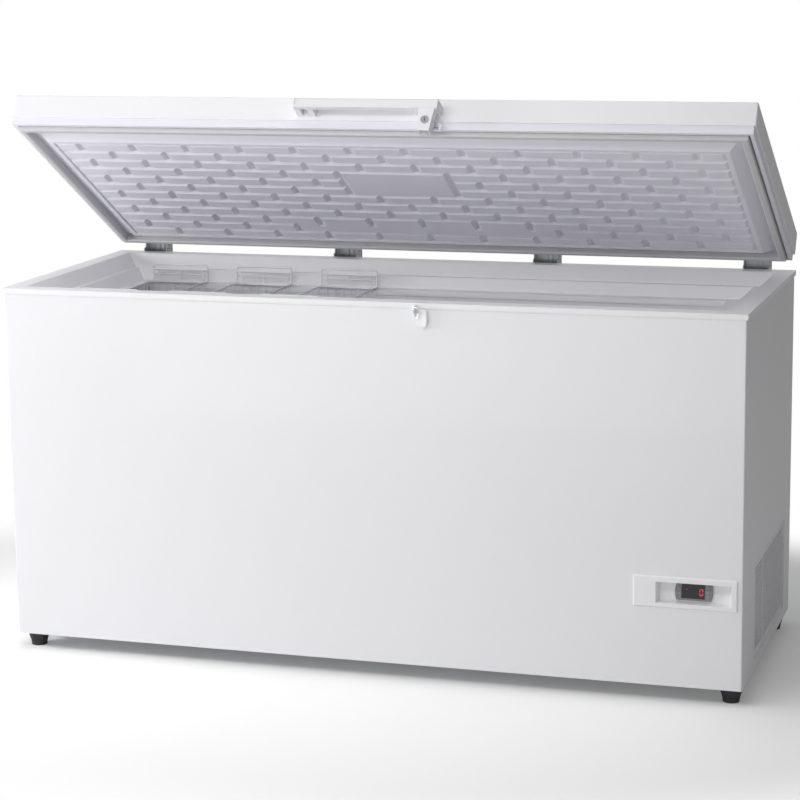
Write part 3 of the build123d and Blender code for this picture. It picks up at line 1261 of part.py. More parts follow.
def basket(number):
    """Wire basket hung on the rim's lower ledge, with an upright handle frame at each end."""
    x = basket_x(number)
    half = BASKET_WIDTH / 2
    top = RIM_TOP - HANGER_DROP + SEAT_CLEARANCE + FRAME_WIRE / 2
    y0, y1 = LINER_FRONT + RIM_THICK + BASKET_SIDE_GAP, LINER_BACK - RIM_THICK - BASKET_SIDE_GAP
    bottom = top - BASKET_HEIGHT
    wires = []
    ledge = HANGER_WIDTH * 0.45
    for end, side in ((y0, -1), (y1, 1)):
        hanger = end + side * (BASKET_SIDE_GAP + ledge)
        wires += end_frame(x, hanger, top)
        for tie in (-half, half):
            wires.append(bar((x + tie, end - side * WIRE, top), (x + tie, hanger, top), FRAME_WIRE))
        wires.append(bar((x - half, end, top), (x + half, end, top), FRAME_WIRE))
    for side in (-1, 1):
        wires.append(bar((x + side * half, y0, top), (x + side * half, y1, top), FRAME_WIRE))
    for level in (top - BASKET_HEIGHT / 2, bottom):
        for side in (-1, 1):
            wires.append(bar((x + side * half, y0, level), (x + side * half, y1, level), WIRE))
        for end in (y0, y1):
            wires.append(bar((x - half, end, level), (x + half, end, level), WIRE))
    for n in range(BASKET_BAYS + 1):
        y = y0 + (y1 - y0) * n / BASKET_BAYS
        wires.append(bar((x - half, y, bottom), (x + half, y, bottom), WIRE))
        for side in (-1, 1):
            wires.append(bar((x + side * half, y, bottom), (x + side * half, y, top), WIRE))
    for n in range(1, 3):
        across = x - half + BASKET_WIDTH * n / 3
        wires.append(bar((across, y0, bottom), (across, y1, bottom), WIRE))
        for end in (y0, y1):
            wires.append(bar((across, end, bottom), (across, end, top), WIRE))
    return fuse(wires).solid()


def end_frame(x, y, top):
    """Hanger rod on the ledge and the handle that stands on it."""
    half, high = BASKET_WIDTH / 2, top + HANDLE_RISE
    reach = min(HANGER_HALF, BASKET_PITCH / 2 - FRAME_WIRE)
    grip = high - GRIP_DROP
    frame = [bar((x - reach, y, top), (x + reach, y, top), FRAME_WIRE)]
    frame.append(bar((x - half, y, high), (x + half, y, high), FRAME_WIRE))
    frame.append(cuboid(x - half, x + half, y - GRIP_HEIGHT / 2, y + GRIP_HEIGHT / 2,
                        grip - GRIP_HEIGHT / 2, grip + GRIP_HEIGHT / 2))
    low = grip - GRIP_DROP
    frame.append(bar((x - half, y, low), (x + half, y, low), WIRE))
    for side in (-1, 1):
        frame.append(bar((x + side * half, y, top), (x + side * half, y, high + FRAME_WIRE / 2), FRAME_WIRE))
        frame.append(bar((x + side * half * 0.82, y, top), (x + side * half * 0.82, y, grip), WIRE))
    frame.append(bar((x, y, top), (x, y, grip), WIRE))
    return frame


def save(name, shape, lid=False):
    """Writes one piece, or a group of like pieces, under its node name."""
    solids = list(shape) if isinstance(shape, list) else [shape]
    solids = [solid for item in solids for solid in item.solids()]
    if lid:
        solids = [swing_open(solid) for solid in solids]
    out = solids[0] if len(solids) == 1 else Compound(children=solids)
    export_step(out, f"parts/{name}.step")


def main():
    os.makedirs("parts", exist_ok=True)
    save("outer_cabinet", outer_cabinet())
    save("rear_panel", rear_panel())
    save("base_pan", base_pan())
    save("rubber_feet", rubber_feet())
    save("foot_studs", foot_studs())
    save("breaker_frame", breaker_frame())
    save("inner_liner", inner_liner())
    save("evaporator_coil", evaporator_coil())
    save("cabinet_insulation", cabinet_insulation())
    save("machine_bulkhead", machine_bulkhead())
    save("control_bezel", control_bezel())
    save("thermostat_housing", thermostat_housing())
    save("display_window", display_window())
    save("display_digit", display_digit())
    for number in range(len(button_places())):
        save(f"push_button_{number + 1}", push_button(number))
    save("side_vent_grille", side_vent_grille())
    save("rear_vent_cover", rear_vent_cover())
    save("mains_gland", mains_gland())
    save("compressor", compressor())
    save("compressor_mounts", compressor_mounts())
    save("compressor_bolts", compressor_bolts())
    save("condenser", condenser())
    save("fan_shroud", fan_shroud())
    save("fan_motor", fan_motor())
    save("fan_blade", fan_blade())
    save("refrigerant_lines", refrigerant_lines())
    save("filter_drier", filter_drier())
    save("hinge_bases", [hinge_base(x) for x in HINGE_X])
    save("hinge_pins", [hinge_pin(x) for x in HINGE_X])
    save("hinge_springs", [hinge_spring(x) for x in HINGE_X])
    save("cabinet_screws", cabinet_screws())
    save("catch_base", catch_base())
    save("catch_keeper", catch_keeper())
    for number in range(BASKET_COUNT):
        save(f"basket_{number + 1}", basket(number))
    save("lid_outer_shell", lid_outer_shell(), lid=True)
    save("lid_insulation", lid_insulation(), lid=True)
    save("lid_inner_panel", lid_inner_panel(), lid=True)
    save("lid_gasket", lid_gasket(), lid=True)
    save("hinge_leaves", [hinge_leaf(x) for x in HINGE_X], lid=True)
    save("lid_screws", lid_screws(), lid=True)
    save("handle_bar", handle_bar(), lid=True)
    save("handle_bracket", handle_bracket(), lid=True)
    save("lock_housing", lock_housing(), lid=True)
    save("lock_barrel", lock_barrel(), lid=True)
    save("lock_core", lock_core(), lid=True)
    save("lock_cam", lock_cam(), lid=True)


main()
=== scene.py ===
import json
import math

import bmesh
import bpy
from mathutils import Matrix, Vector


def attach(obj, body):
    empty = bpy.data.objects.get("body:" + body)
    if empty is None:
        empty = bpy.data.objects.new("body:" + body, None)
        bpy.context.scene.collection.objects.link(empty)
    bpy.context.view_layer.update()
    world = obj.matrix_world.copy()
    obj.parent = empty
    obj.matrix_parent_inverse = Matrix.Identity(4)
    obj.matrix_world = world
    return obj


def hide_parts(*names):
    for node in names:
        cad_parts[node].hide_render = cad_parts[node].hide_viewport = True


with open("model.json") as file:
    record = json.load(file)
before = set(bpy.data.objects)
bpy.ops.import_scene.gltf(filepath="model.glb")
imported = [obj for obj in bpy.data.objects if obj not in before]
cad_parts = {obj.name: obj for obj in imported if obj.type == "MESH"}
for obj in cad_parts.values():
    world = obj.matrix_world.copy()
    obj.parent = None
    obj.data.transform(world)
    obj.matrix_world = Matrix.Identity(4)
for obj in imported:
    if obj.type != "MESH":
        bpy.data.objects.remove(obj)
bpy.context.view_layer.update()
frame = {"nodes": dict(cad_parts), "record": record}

# Levels and planes of the model, in metres
RIM_TOP = 0.804
RIM_Y = -0.0095
HALF_DEPTH = 0.315
FRONT = RIM_Y - HALF_DEPTH
BACK = RIM_Y + HALF_DEPTH
RIGHT = 0.805
HINGE_X = (-0.717, -0.239, 0.239, 0.717)
HINGE_Y = BACK + 0.024
HINGE_Z = RIM_TOP + 0.050

# Camera of the photograph
CAMERA_AT = (1.5619, -4.6207 - HALF_DEPTH + RIM_Y, 1.5591)
YAW, PITCH, ROLL = (math.radians(a) for a in (-17.669, -11.173, -0.769))
LENS = 108.3
SENSOR = 36

# Noise textures of the finishes
DRIFT_DETAIL = 4.0
GLOSS_SCALE = 25.0
GLOSS_DETAIL = 3.0
BUMP_DETAIL = 2.0
BUMP_DEPTH = 0.001
LOWEST_ROUGH = 0.02

# Colour sockets of a Mix node
MIX_A, MIX_B, MIX_RESULT = 6, 7, 2

# Colour, roughness and detail of each finish; bumps are pairs of scale and strength
FINISHES = {
    "white_steel": dict(colour=(0.86, 0.86, 0.885), rough=0.34, shift=0.012, coat=0.15,
                        bumps=((260.0, 0.035), (900.0, 0.02))),
    "galvanised_sheet": dict(colour=(0.55, 0.57, 0.59), rough=0.42, metal=1.0, shift=0.12, blotch=60.0,
                             bumps=((500.0, 0.05),)),
    "black_rubber": dict(colour=(0.02, 0.02, 0.021), rough=0.62, shift=0.2, bumps=((700.0, 0.25),)),
    "bright_steel": dict(colour=(0.66, 0.67, 0.69), rough=0.28, metal=1.0, shift=0.08, blotch=120.0),
    "white_plastic": dict(colour=(0.9, 0.9, 0.915), rough=0.38, shift=0.015, bumps=((600.0, 0.06),)),
    "liner_white": dict(colour=(0.84, 0.845, 0.88), rough=0.45, shift=0.02,
                        bumps=((90.0, 0.06), (700.0, 0.04))),
    "copper_tube": dict(colour=(0.72, 0.36, 0.2), rough=0.3, metal=1.0, shift=0.1),
    "foam": dict(colour=(0.86, 0.78, 0.5), rough=0.9, shift=0.08, bumps=((300.0, 0.5),)),
    "grey_plastic": dict(colour=(0.235, 0.235, 0.24), rough=0.5, bumps=((1500.0, 0.12),)),
    "window_dark": dict(colour=(0.008, 0.008, 0.01), rough=0.12, shift=0.1, rough_shift=0.02, bumps=()),
    "digit_red": dict(colour=(0.55, 0.03, 0.07), rough=0.4, shift=0.02, emit=0.9, bumps=((900.0, 0.02),)),
    "button_grey": dict(colour=(0.30, 0.30, 0.31), rough=0.55, bumps=((1500.0, 0.12),)),
    "vent_plastic": dict(colour=(0.8, 0.8, 0.82), rough=0.45, shift=0.02, bumps=((700.0, 0.06),)),
    "black_plastic": dict(colour=(0.02, 0.02, 0.022), rough=0.5, shift=0.1, bumps=((900.0, 0.15),)),
    "compressor_black": dict(colour=(0.015, 0.015, 0.016), rough=0.35, shift=0.1, bumps=((300.0, 0.1),)),
    "fin_aluminium": dict(colour=(0.75, 0.76, 0.78), rough=0.35, metal=1.0, shift=0.05),
    "fan_plastic": dict(colour=(0.04, 0.04, 0.042), rough=0.5, shift=0.1, bumps=((900.0, 0.1),)),
    # hinge_steel: its colour drift is drawn out upright by stretch into painted reflection, dark upright
    # stripes standing in for the surroundings the steel reflects
    "hinge_steel": dict(colour=(0.52, 0.53, 0.55), rough=0.3, metal=1.0, shift=0.1, blotch=40.0,
                        stretch=(1.0, 1.0, 0.15), bumps=((400.0, 0.08),)),
    "spring_steel": dict(colour=(0.2, 0.2, 0.21), rough=0.35, metal=1.0, shift=0.15, blotch=90.0),
    "basket_wire": dict(colour=(0.84, 0.84, 0.87), rough=0.35, shift=0.02, coat=0.2, bumps=((500.0, 0.08),)),
    # panel_plastic: its lavender tint, which the neutral white plastic round it lacks, is painted shade,
    # standing in for the cool tint of shade on the lid's underside
    "panel_plastic": dict(colour=(0.82, 0.81, 0.875), rough=0.42, shift=0.015,
                          bumps=((350.0, 0.06), (1200.0, 0.04))),
    # gasket_white: its grey, darker than the white plastic round it, is painted shade, standing in for the
    # shade the lid's lip casts on the gasket
    "gasket_white": dict(colour=(0.62, 0.62, 0.64), rough=0.55, shift=0.02, bumps=((800.0, 0.08),)),
    "handle_white": dict(colour=(0.82, 0.82, 0.85), rough=0.36, shift=0.015, bumps=((700.0, 0.06),)),
    # chrome_ring: its colour, darker than bright chrome, is painted reflection, standing in for the dark
    # surroundings the ring reflects
    "chrome_ring": dict(colour=(0.36, 0.36, 0.38), rough=0.14, metal=1.0, bumps=((300.0, 0.02),)),
}

# Basket wires and where the baskets hang
WIRE = 0.0015
FRAME_WIRE = 0.0025
GRIP_WIRE = 0.0032
SEAT_GAP = 0.0003
HANGER_DROP = 0.054
HANGER_WIDTH = 0.029
HANGER_SHARE = 0.45
WALL_GAP = 0.008
MOUTH_INSET = 0.126
LINER_WALL = 0.003
HANGER_REACH = WALL_GAP + HANGER_WIDTH * HANGER_SHARE
BASKET_X = -0.605
BASKET_PITCH = 0.207
BASKET_COUNT = 3
BASKET_HALF = 0.067
BASKET_TOP = RIM_TOP - HANGER_DROP + SEAT_GAP + FRAME_WIRE
BASKET_DEEP = 0.205
BASKET_Y0 = FRONT + MOUTH_INSET + LINER_WALL + WALL_GAP
BASKET_Y1 = BACK - MOUTH_INSET - LINER_WALL - WALL_GAP
BASKET_BEND = 0.008
CROSS_BAYS = 18
LONG_BAYS = 7
HANDLE_RISE = 0.038
HANDLE_BEND = 0.006
GRIP_STEP = 0.011
LEDGE_BAR = 0.088
UPRIGHTS = (-0.82, 0.0, 0.82)

# Vent grille in the right side: a plate with two fields of slanted slots, and its rim
GRILLE_Y = (FRONT + 0.1555, FRONT + 0.5495)
GRILLE_Z = (0.0575, 0.2625)
GRILLE_TOP = RIGHT - 0.003
GRILLE_FACE = GRILLE_TOP - 0.0025
GRILLE_SHEET = 0.002
GRILLE_EDGE = 0.0135
GRILLE_BAR_PLACE = 0.27
GRILLE_BAR_HALF = 0.006
SLOT_ROWS = 22
SLOT_PITCH = 0.012
SLOT_WEB = 0.0012
SLOT_SLANT = 0.0032
WELD_DIGITS = 6

# Torsion springs round the hinge pins
SPRING_HALF = 0.021
SPRING_RADIUS = 0.0062
SPRING_WIRE = 0.0012
SPRING_TURNS = 15
TURN_STEPS = 14

# Softened edges of the carried-over solids
EDGE_SEGMENTS = 2
EDGE_ANGLE = math.radians(40.0)
SOFT_EDGES = {
    "handle_bar": 0.0008,
    "handle_bracket": 0.0008,
    "lock_housing": 0.001,
    "thermostat_housing": 0.0006,
    "control_bezel": 0.0006,
    "catch_base": 0.0006,
}

# Floor: half axes of the area that keeps its shadow, where it starts to fade, and its lift towards white
FLOOR_HALF = 40
FLOOR_COLOUR = (0.95, 0.95, 0.95, 1)
FLOOR_ROUGH = 0.9
FLOOR_LIFT = 0.12
FADE = (1.7, 1.25)
FADE_START = 0.75

# Light of the studio, and its lamps: place, target, size and power
WORLD_LEVEL = 0.224
LAMPS = {
    "overhead": ((-0.6, -0.6, 4.2), (0, 0, 0.5), (3.0, 2.0), 29.0),
    "low_fill": ((-0.2, -2.7, 0.3), (0, -0.1, 1.0), (2.6, 0.5), 8.8),
    "mouth_fill": ((-0.3, -1.7, 1.95), (0, 0.15, 0.82), (2.0, 0.5), 13.3),
    "left_fill": ((-2.4, -0.9, 1.0), (0.1, 0.1, 0.95), (1.0, 0.6), 30.5),
}


def object_coords(tree, stretch):
    """Coordinates of the object, drawn out along its axes where a finish is streaked: streaked colour there
    is painted reflection, streaked gloss and bumps a grain.
    """
    coords = tree.nodes.new("ShaderNodeTexCoord").outputs["Object"]
    if stretch is None:
        return coords
    mapping = tree.nodes.new("ShaderNodeMapping")
    mapping.inputs["Scale"].default_value = stretch
    tree.links.new(coords, mapping.inputs["Vector"])
    return mapping.outputs["Vector"]


def noise_value(tree, coords, scale, detail):
    """Value of a noise texture at each point."""
    noise = tree.nodes.new("ShaderNodeTexNoise")
    noise.inputs["Scale"].default_value = scale
    noise.inputs["Detail"].default_value = detail
    tree.links.new(coords, noise.inputs["Vector"])
    return noise.outputs["Fac"]


def drifting_colour(tree, coords, colour, shift, blotch):
    """The colour, a little darker in some places and a little paler in others."""
    mix = tree.nodes.new("ShaderNodeMix")
    mix.data_type = "RGBA"
    tree.links.new(noise_value(tree, coords, blotch, DRIFT_DETAIL), mix.inputs["Factor"])
    mix.inputs[MIX_A].default_value = [max(c * (1 - shift), 0) for c in colour] + [1]
    mix.inputs[MIX_B].default_value = [min(c * (1 + shift), 1) for c in colour] + [1]
    return mix.outputs[MIX_RESULT]


def uneven_gloss(tree, coords, rough, rough_shift):
    """Roughness that wanders about its middle value."""
    span = tree.nodes.new("ShaderNodeMapRange")
    span.inputs["To Min"].default_value = max(rough - rough_shift, LOWEST_ROUGH)
    span.inputs["To Max"].default_value = min(rough + rough_shift, 1)
    tree.links.new(noise_value(tree, coords, GLOSS_SCALE, GLOSS_DETAIL), span.inputs["Value"])
    return span.outputs["Result"]


def bumped_normal(tree, coords, bumps):
    """Normal with each bump scale laid over the one before, or None without bumps."""
    normal = None
    for scale, strength in bumps:
        bump = tree.nodes.new("ShaderNodeBump")
        bump.inputs["Strength"].default_value = strength
        bump.inputs["Distance"].default_value = BUMP_DEPTH
        tree.links.new(noise_value(tree, coords, scale, BUMP_DETAIL), bump.inputs["Height"])
        if normal:
            tree.links.new(normal, bump.inputs["Normal"])
        normal = bump.outputs["Normal"]
    return normal


def material(name, colour, rough, metal=0.0, shift=0.03, blotch=3.0, rough_shift=0.06,
             bumps=((450.0, 0.06),), stretch=None, coat=0.0, emit=0.0):
    """Finish with a slight colour drift, uneven gloss and one or more bump scales."""
    mat = bpy.data.materials.new(name)
    mat.use_nodes = True
    tree = mat.node_tree
    shader = tree.nodes["Principled BSDF"]
    coords = object_coords(tree, stretch)
    tree.links.new(drifting_colour(tree, coords, colour, shift, blotch), shader.inputs["Base Color"])
    tree.links.new(uneven_gloss(tree, coords, rough, rough_shift), shader.inputs["Roughness"])
    normal = bumped_normal(tree, coords, bumps)
    if normal:
        tree.links.new(normal, shader.inputs["Normal"])
    shader.inputs["Metallic"].default_value = metal
    shader.inputs["Coat Weight"].default_value = coat
    if emit:
        shader.inputs["Emission Color"].default_value = list(colour) + [1]
        shader.inputs["Emission Strength"].default_value = emit
    return mat


def dress_solids():
    """Gives each carried-over solid the finish of its material slot."""
    for part in frame["record"]["subparts"]:
        for place in frame["nodes"][part["node"]].material_slots:
            place.material = MATERIALS[part["material_slot"]]


def add_piece(name, data, body, slot_name, stands_for=()):
    """Links a new piece, gives it its finish and ties it to its body."""
    piece = bpy.data.objects.new(name, data)
    bpy.context.scene.collection.objects.link(piece)
    data.materials.append(MATERIALS[slot_name])
    bpy.context.view_layer.update()
    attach(piece, body)
    if stands_for:
        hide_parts(*stands_for)
    return piece


def wire_curve(name, runs, body, slot_name, stands_for):
    """Welded round wires: each run is a list of points and a radius."""
    curve = bpy.data.curves.new(name, "CURVE")
    curve.dimensions = "3D"
    curve.bevel_depth = 1.0
    curve.bevel_resolution = 3
    curve.use_fill_caps = True
    for points, radius in runs:
        spline = curve.splines.new("POLY")
        spline.points.add(len(points) - 1)
        for target, point in zip(spline.points, points):
            target.co = (*point, 1)
            target.radius = radius
    return add_piece(name, curve, body, slot_name, stands_for)


def rounded(points, bend, steps=4):
    """The same open path with its corners turned into short arcs."""
    points = [Vector(p) for p in points]
    path = [points[0]]
    for before, corner, after in zip(points, points[1:], points[2:]):
        reach = min(bend, (before - corner).length / 2, (after - corner).length / 2)
        start = corner + (before - corner).normalized() * reach
        end = corner + (after - corner).normalized() * reach
        for n in range(steps + 1):
            t = n / steps
            path.append(start.lerp(corner, t).lerp(corner.lerp(end, t), t))
    return path + [points[-1]]


def handle_runs(x, end, side):
    """Ledge bar and upright handle at one end of a basket; side points away from its middle."""
    left, right = x - BASKET_HALF, x + BASKET_HALF
    y = end + side * HANGER_REACH
    high = BASKET_TOP + HANDLE_RISE
    grip = high - GRIP_STEP
    arch = [(left, y, BASKET_TOP), (left, y, high), (right, y, high), (right, y, BASKET_TOP)]
    runs = [([(x - LEDGE_BAR, y, BASKET_TOP), (x + LEDGE_BAR, y, BASKET_TOP)], FRAME_WIRE),
            (rounded(arch, HANDLE_BEND), FRAME_WIRE),
            ([(left, y, grip), (right, y, grip)], GRIP_WIRE),
            ([(left, y, grip - GRIP_STEP), (right, y, grip - GRIP_STEP)], WIRE)]
    for place in UPRIGHTS:
        across = x + place * BASKET_HALF
        runs.append(([(across, y, BASKET_TOP), (across, y, grip)], WIRE))
    for across in (left, right):
        runs.append(([(across, end, BASKET_TOP), (across, y, BASKET_TOP)], FRAME_WIRE))
    return runs


def basket_runs(x):
    """Wires of one basket with its middle at x."""
    left, right = x - BASKET_HALF, x + BASKET_HALF
    top, low = BASKET_TOP, BASKET_TOP - BASKET_DEEP
    runs = handle_runs(x, BASKET_Y0, -1) + handle_runs(x, BASKET_Y1, 1)
    corners = [(left, BASKET_Y0), (right, BASKET_Y0), (right, BASKET_Y1), (left, BASKET_Y1)]
    for level, wire in ((top, FRAME_WIRE), (top - BASKET_DEEP / 2, WIRE), (low, WIRE)):
        runs.append(([(a, b, level) for a, b in corners + corners[:1]], wire))
    for n in range(CROSS_BAYS + 1):
        y = BASKET_Y0 + (BASKET_Y1 - BASKET_Y0) * n / CROSS_BAYS
        path = [(left, y, top), (left, y, low), (right, y, low), (right, y, top)]
        runs.append((rounded(path, BASKET_BEND), WIRE))
    for n in range(1, LONG_BAYS):
        across = left + 2 * BASKET_HALF * n / LONG_BAYS
        path = [(across, BASKET_Y0, top), (across, BASKET_Y0, low),
                (across, BASKET_Y1, low), (across, BASKET_Y1, top)]
        runs.append((rounded(path, BASKET_BEND), WIRE))
    return runs


def wire_baskets():
    for n in range(BASKET_COUNT):
        name = f"basket_{n + 1}"
        runs = basket_runs(BASKET_X + BASKET_PITCH * n)
        wire_curve(f"{name}_wires", runs, f"{name}_body", "basket_wire", (name,))


def slot_lines(first, last):
    """Places along Y of the webs between the slots of one field."""
    count = max(int((last - first) / SLOT_PITCH), 1)
    return [first + (last - first) * n / count for n in range(count + 1)]


def slot_webs(a, b, c, d):
    """Four faces round the slanted slot of the cell from a to b and from c to d."""
    outer = [(a, c), (b, c), (b, d), (a, d)]
    inner = [(a + SLOT_WEB, c + SLOT_WEB), (b - SLOT_WEB, c + SLOT_SLANT),
             (b - SLOT_WEB, d - SLOT_WEB), (a + SLOT_WEB, d - SLOT_SLANT)]
    return [(outer[n], outer[(n + 1) % 4], inner[(n + 1) % 4], inner[n]) for n in range(4)]


def grille_faces():
    """Faces of the grille's plate, as corners in Y and Z."""
    (y0, y1), (z0, z1) = GRILLE_Y, GRILLE_Z
    first, last = y0 + GRILLE_EDGE, y1 - GRILLE_EDGE
    low, high = z0 + GRILLE_EDGE, z1 - GRILLE_EDGE
    bar = first + (last - first) * GRILLE_BAR_PLACE
    fields = [slot_lines(first, bar - GRILLE_BAR_HALF), slot_lines(bar + GRILLE_BAR_HALF, last)]
    levels = [low + row * (high - low) / SLOT_ROWS for row in range(SLOT_ROWS + 1)]
    faces = []
    for field in fields:
        for a, b in zip(field, field[1:]):
            for c, d in zip(levels, levels[1:]):
                faces += slot_webs(a, b, c, d)
    plain = ((y0, fields[0][0]), (fields[0][-1], fields[1][0]), (fields[1][-1], y1))
    for c, d in zip(levels, levels[1:]):
        faces += [((a, c), (b, c), (b, d), (a, d)) for a, b in plain]
    lines = [y0] + fields[0] + fields[1] + [y1]
    for c, d in ((z0, low), (high, z1)):
        faces += [((a, c), (b, c), (b, d), (a, d)) for a, b in zip(lines, lines[1:])]
    return faces


def grille_plate():
    """Recessed plate of the grille, facing out of the side."""
    bm = bmesh.new()
    welded = {}
    for face in grille_faces():
        corners = []
        for y, z in face:
            key = (round(GRILLE_FACE, WELD_DIGITS), round(y, WELD_DIGITS), round(z, WELD_DIGITS))
            if key not in welded:
                welded[key] = bm.verts.new(key)
            corners.append(welded[key])
        bm.faces.new(corners)
    bm.normal_update()
    bmesh.ops.recalc_face_normals(bm, faces=bm.faces)
    bm.faces.ensure_lookup_table()
    if bm.faces[0].normal.x < 0:
        bmesh.ops.reverse_faces(bm, faces=bm.faces)
    plate = add_piece("vent_grille_plate", mesh_from(bm, "vent_grille_plate"), "cabinet", "vent_plastic",
                      ("side_vent_grille",))
    solid = plate.modifiers.new("thick", "SOLIDIFY")
    solid.thickness = GRILLE_SHEET
    solid.offset = -1


def grille_rim():
    """Raised frame round the grille's plate."""
    (y0, y1), (z0, z1) = GRILLE_Y, GRILLE_Z
    wall = GRILLE_SHEET
    root = GRILLE_FACE - GRILLE_SHEET
    outer = [(y0, z0), (y1, z0), (y1, z1), (y0, z1)]
    inner = [(y0 + wall, z0 + wall), (y1 - wall, z0 + wall), (y1 - wall, z1 - wall), (y0 + wall, z1 - wall)]
    bm = bmesh.new()
    rings = []
    for loop, x in ((outer, root), (outer, GRILLE_TOP), (inner, GRILLE_TOP), (inner, root)):
        rings.append([bm.verts.new((x, y, z)) for y, z in loop])
    for low, high in zip(rings, rings[1:] + rings[:1]):
        for n in range(4):
            bm.faces.new((low[n], low[(n + 1) % 4], high[(n + 1) % 4], high[n]))
    bmesh.ops.recalc_face_normals(bm, faces=bm.faces)
    add_piece("vent_grille_rim", mesh_from(bm, "vent_grille_rim"), "cabinet", "vent_plastic")


def mesh_from(bm, name):
    mesh = bpy.data.meshes.new(name)
    bm.to_mesh(mesh)
    bm.free()
    return mesh


def spring_run(x):
    """Close-wound torsion spring round the hinge pin at x."""
    steps = SPRING_TURNS * TURN_STEPS
    points = []
    for n in range(steps + 1):
        angle = 2 * math.pi * n / TURN_STEPS
        along = -SPRING_HALF + 2 * SPRING_HALF * n / steps
        across, up = SPRING_RADIUS * math.cos(angle), SPRING_RADIUS * math.sin(angle)
        points.append((x + along, HINGE_Y + across, HINGE_Z + up))
    return points, SPRING_WIRE


def soften(node_name, width):
    """Rounds the sharp edges of a carried-over solid."""
    bevel = frame["nodes"][node_name].modifiers.new("edge", "BEVEL")
    bevel.width = width
    bevel.segments = EDGE_SEGMENTS
    bevel.limit_method = "ANGLE"
    bevel.angle_limit = EDGE_ANGLE
    bevel.use_clamp_overlap = True
    bevel.harden_normals = False


def combined(tree, operation, first, second):
    """Math node of two values; the second may be a plain number."""
    node = tree.nodes.new("ShaderNodeMath")
    node.operation = operation
    tree.links.new(first, node.inputs[0])
    if isinstance(second, float):
        node.inputs[1].default_value = second
    else:
        tree.links.new(second, node.inputs[1])
    return node.outputs[0]


def mixed_shader(tree, factor, first, second):
    mix = tree.nodes.new("ShaderNodeMixShader")
    tree.links.new(factor, mix.inputs[0])
    tree.links.new(first, mix.inputs[1])
    tree.links.new(second, mix.inputs[2])
    return mix.outputs[0]


def distance_fade(tree):
    """0 near the object, rising to 1 where the floor turns plain white."""
    place = tree.nodes.new("ShaderNodeNewGeometry")
    squeeze = tree.nodes.new("ShaderNodeVectorMath")
    squeeze.operation = "MULTIPLY"
    squeeze.inputs[1].default_value = (1 / FADE[0], 1 / FADE[1], 1)
    tree.links.new(place.outputs["Position"], squeeze.inputs[0])
    reach = tree.nodes.new("ShaderNodeVectorMath")
    reach.operation = "LENGTH"
    tree.links.new(squeeze.outputs["Vector"], reach.inputs[0])
    fade = tree.nodes.new("ShaderNodeMapRange")
    fade.interpolation_type = "SMOOTHSTEP"
    fade.inputs["From Min"].default_value = FADE_START
    tree.links.new(reach.outputs["Value"], fade.inputs["Value"])
    return fade.outputs["Result"]


def floor_material():
    """Matt pale floor, lifted a little for the camera and plain white further off."""
    mat = bpy.data.materials.new("floor_white")
    mat.use_nodes = True
    tree = mat.node_tree
    matt = tree.nodes["Principled BSDF"]
    matt.inputs["Base Color"].default_value = FLOOR_COLOUR
    matt.inputs["Roughness"].default_value = FLOOR_ROUGH
    matt.inputs["Specular IOR Level"].default_value = 0.0
    camera_ray = tree.nodes.new("ShaderNodeLightPath").outputs["Is Camera Ray"]
    lift = tree.nodes.new("ShaderNodeEmission")
    tree.links.new(combined(tree, "MULTIPLY", camera_ray, FLOOR_LIFT), lift.inputs["Strength"])
    near = tree.nodes.new("ShaderNodeAddShader")
    tree.links.new(matt.outputs[0], near.inputs[0])
    tree.links.new(lift.outputs[0], near.inputs[1])
    white = tree.nodes.new("ShaderNodeEmission")
    seen = combined(tree, "MULTIPLY", distance_fade(tree), camera_ray)
    surface = mixed_shader(tree, seen, near.outputs[0], white.outputs[0])
    tree.links.new(surface, tree.nodes["Material Output"].inputs["Surface"])
    return mat


def stage_floor():
    """Floor that keeps the object's shadow."""
    half = FLOOR_HALF
    corners = [(-half, -half, 0), (half, -half, 0), (half, half, 0), (-half, half, 0)]
    mesh = bpy.data.meshes.new("floor")
    mesh.from_pydata(corners, [], [(0, 1, 2, 3)])
    mesh.materials.append(floor_material())
    floor = bpy.data.objects.new("floor", mesh)
    bpy.context.scene.collection.objects.link(floor)


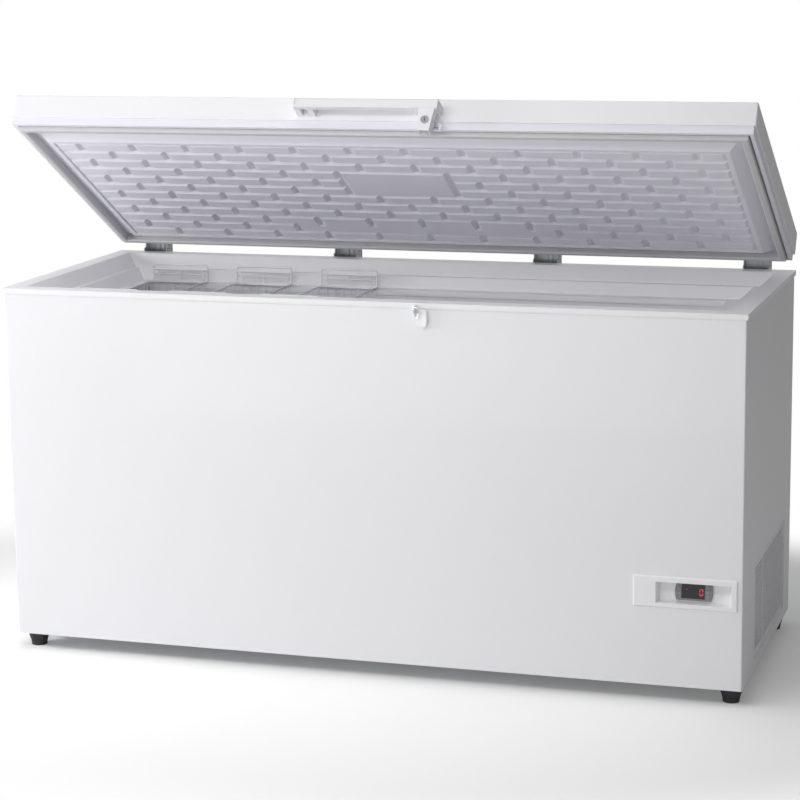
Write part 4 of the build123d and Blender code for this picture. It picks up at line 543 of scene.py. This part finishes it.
def world_light():
    """Even light all round, and plain white where the camera, a gloss or glass looks past the object."""
    world = bpy.data.worlds.new("studio")
    bpy.context.scene.world = world
    world.use_nodes = True
    tree = world.node_tree
    plain = tree.nodes["Background"]
    shown = tree.nodes.new("ShaderNodeBackground")
    for background, strength in ((plain, WORLD_LEVEL), (shown, 1.0)):
        background.inputs["Color"].default_value = (1, 1, 1, 1)
        background.inputs["Strength"].default_value = strength
    path = tree.nodes.new("ShaderNodeLightPath").outputs
    gloss_or_glass = combined(tree, "MAXIMUM", path["Is Glossy Ray"], path["Is Transmission Ray"])
    seen = combined(tree, "MAXIMUM", path["Is Camera Ray"], gloss_or_glass)
    surface = mixed_shader(tree, seen, plain.outputs[0], shown.outputs[0])
    tree.links.new(surface, tree.nodes["World Output"].inputs["Surface"])


def area_light(name, at, target, size, power):
    data = bpy.data.lights.new(name, "AREA")
    data.shape = "RECTANGLE"
    data.size, data.size_y = size
    data.energy = power
    lamp = bpy.data.objects.new(name, data)
    bpy.context.scene.collection.objects.link(lamp)
    lamp.location = at
    lamp.rotation_euler = (Vector(target) - Vector(at)).to_track_quat("-Z", "Y").to_euler()


def place_camera():
    """Camera at the photograph's place, turned by its yaw, pitch and roll."""
    data = bpy.data.cameras.new("camera")
    data.sensor_width = SENSOR
    data.lens = LENS
    data.clip_end = 100
    camera = bpy.data.objects.new("camera", data)
    bpy.context.scene.collection.objects.link(camera)
    ahead = Vector((math.sin(YAW) * math.cos(PITCH), math.cos(YAW) * math.cos(PITCH), math.sin(PITCH)))
    side = Vector((math.cos(YAW), -math.sin(YAW), 0))
    up = side.cross(ahead)
    right = side * math.cos(ROLL) + up * math.sin(ROLL)
    top = up * math.cos(ROLL) - side * math.sin(ROLL)
    turn = Matrix((right, top, -ahead)).transposed().to_4x4()
    camera.matrix_world = Matrix.Translation(CAMERA_AT) @ turn
    bpy.context.scene.camera = camera


MATERIALS = {name: material(name, **finish) for name, finish in FINISHES.items()}
dress_solids()
wire_baskets()
grille_plate()
grille_rim()
wire_curve("torsion_springs", [spring_run(x) for x in HINGE_X], "cabinet", "spring_steel", ("hinge_springs",))
for name, width in SOFT_EDGES.items():
    soften(name, width)

stage_floor()
world_light()
for name, (at, target, size, power) in LAMPS.items():
    area_light(name, at, target, size, power)
place_camera()
bpy.context.scene.view_settings.view_transform = "Standard"
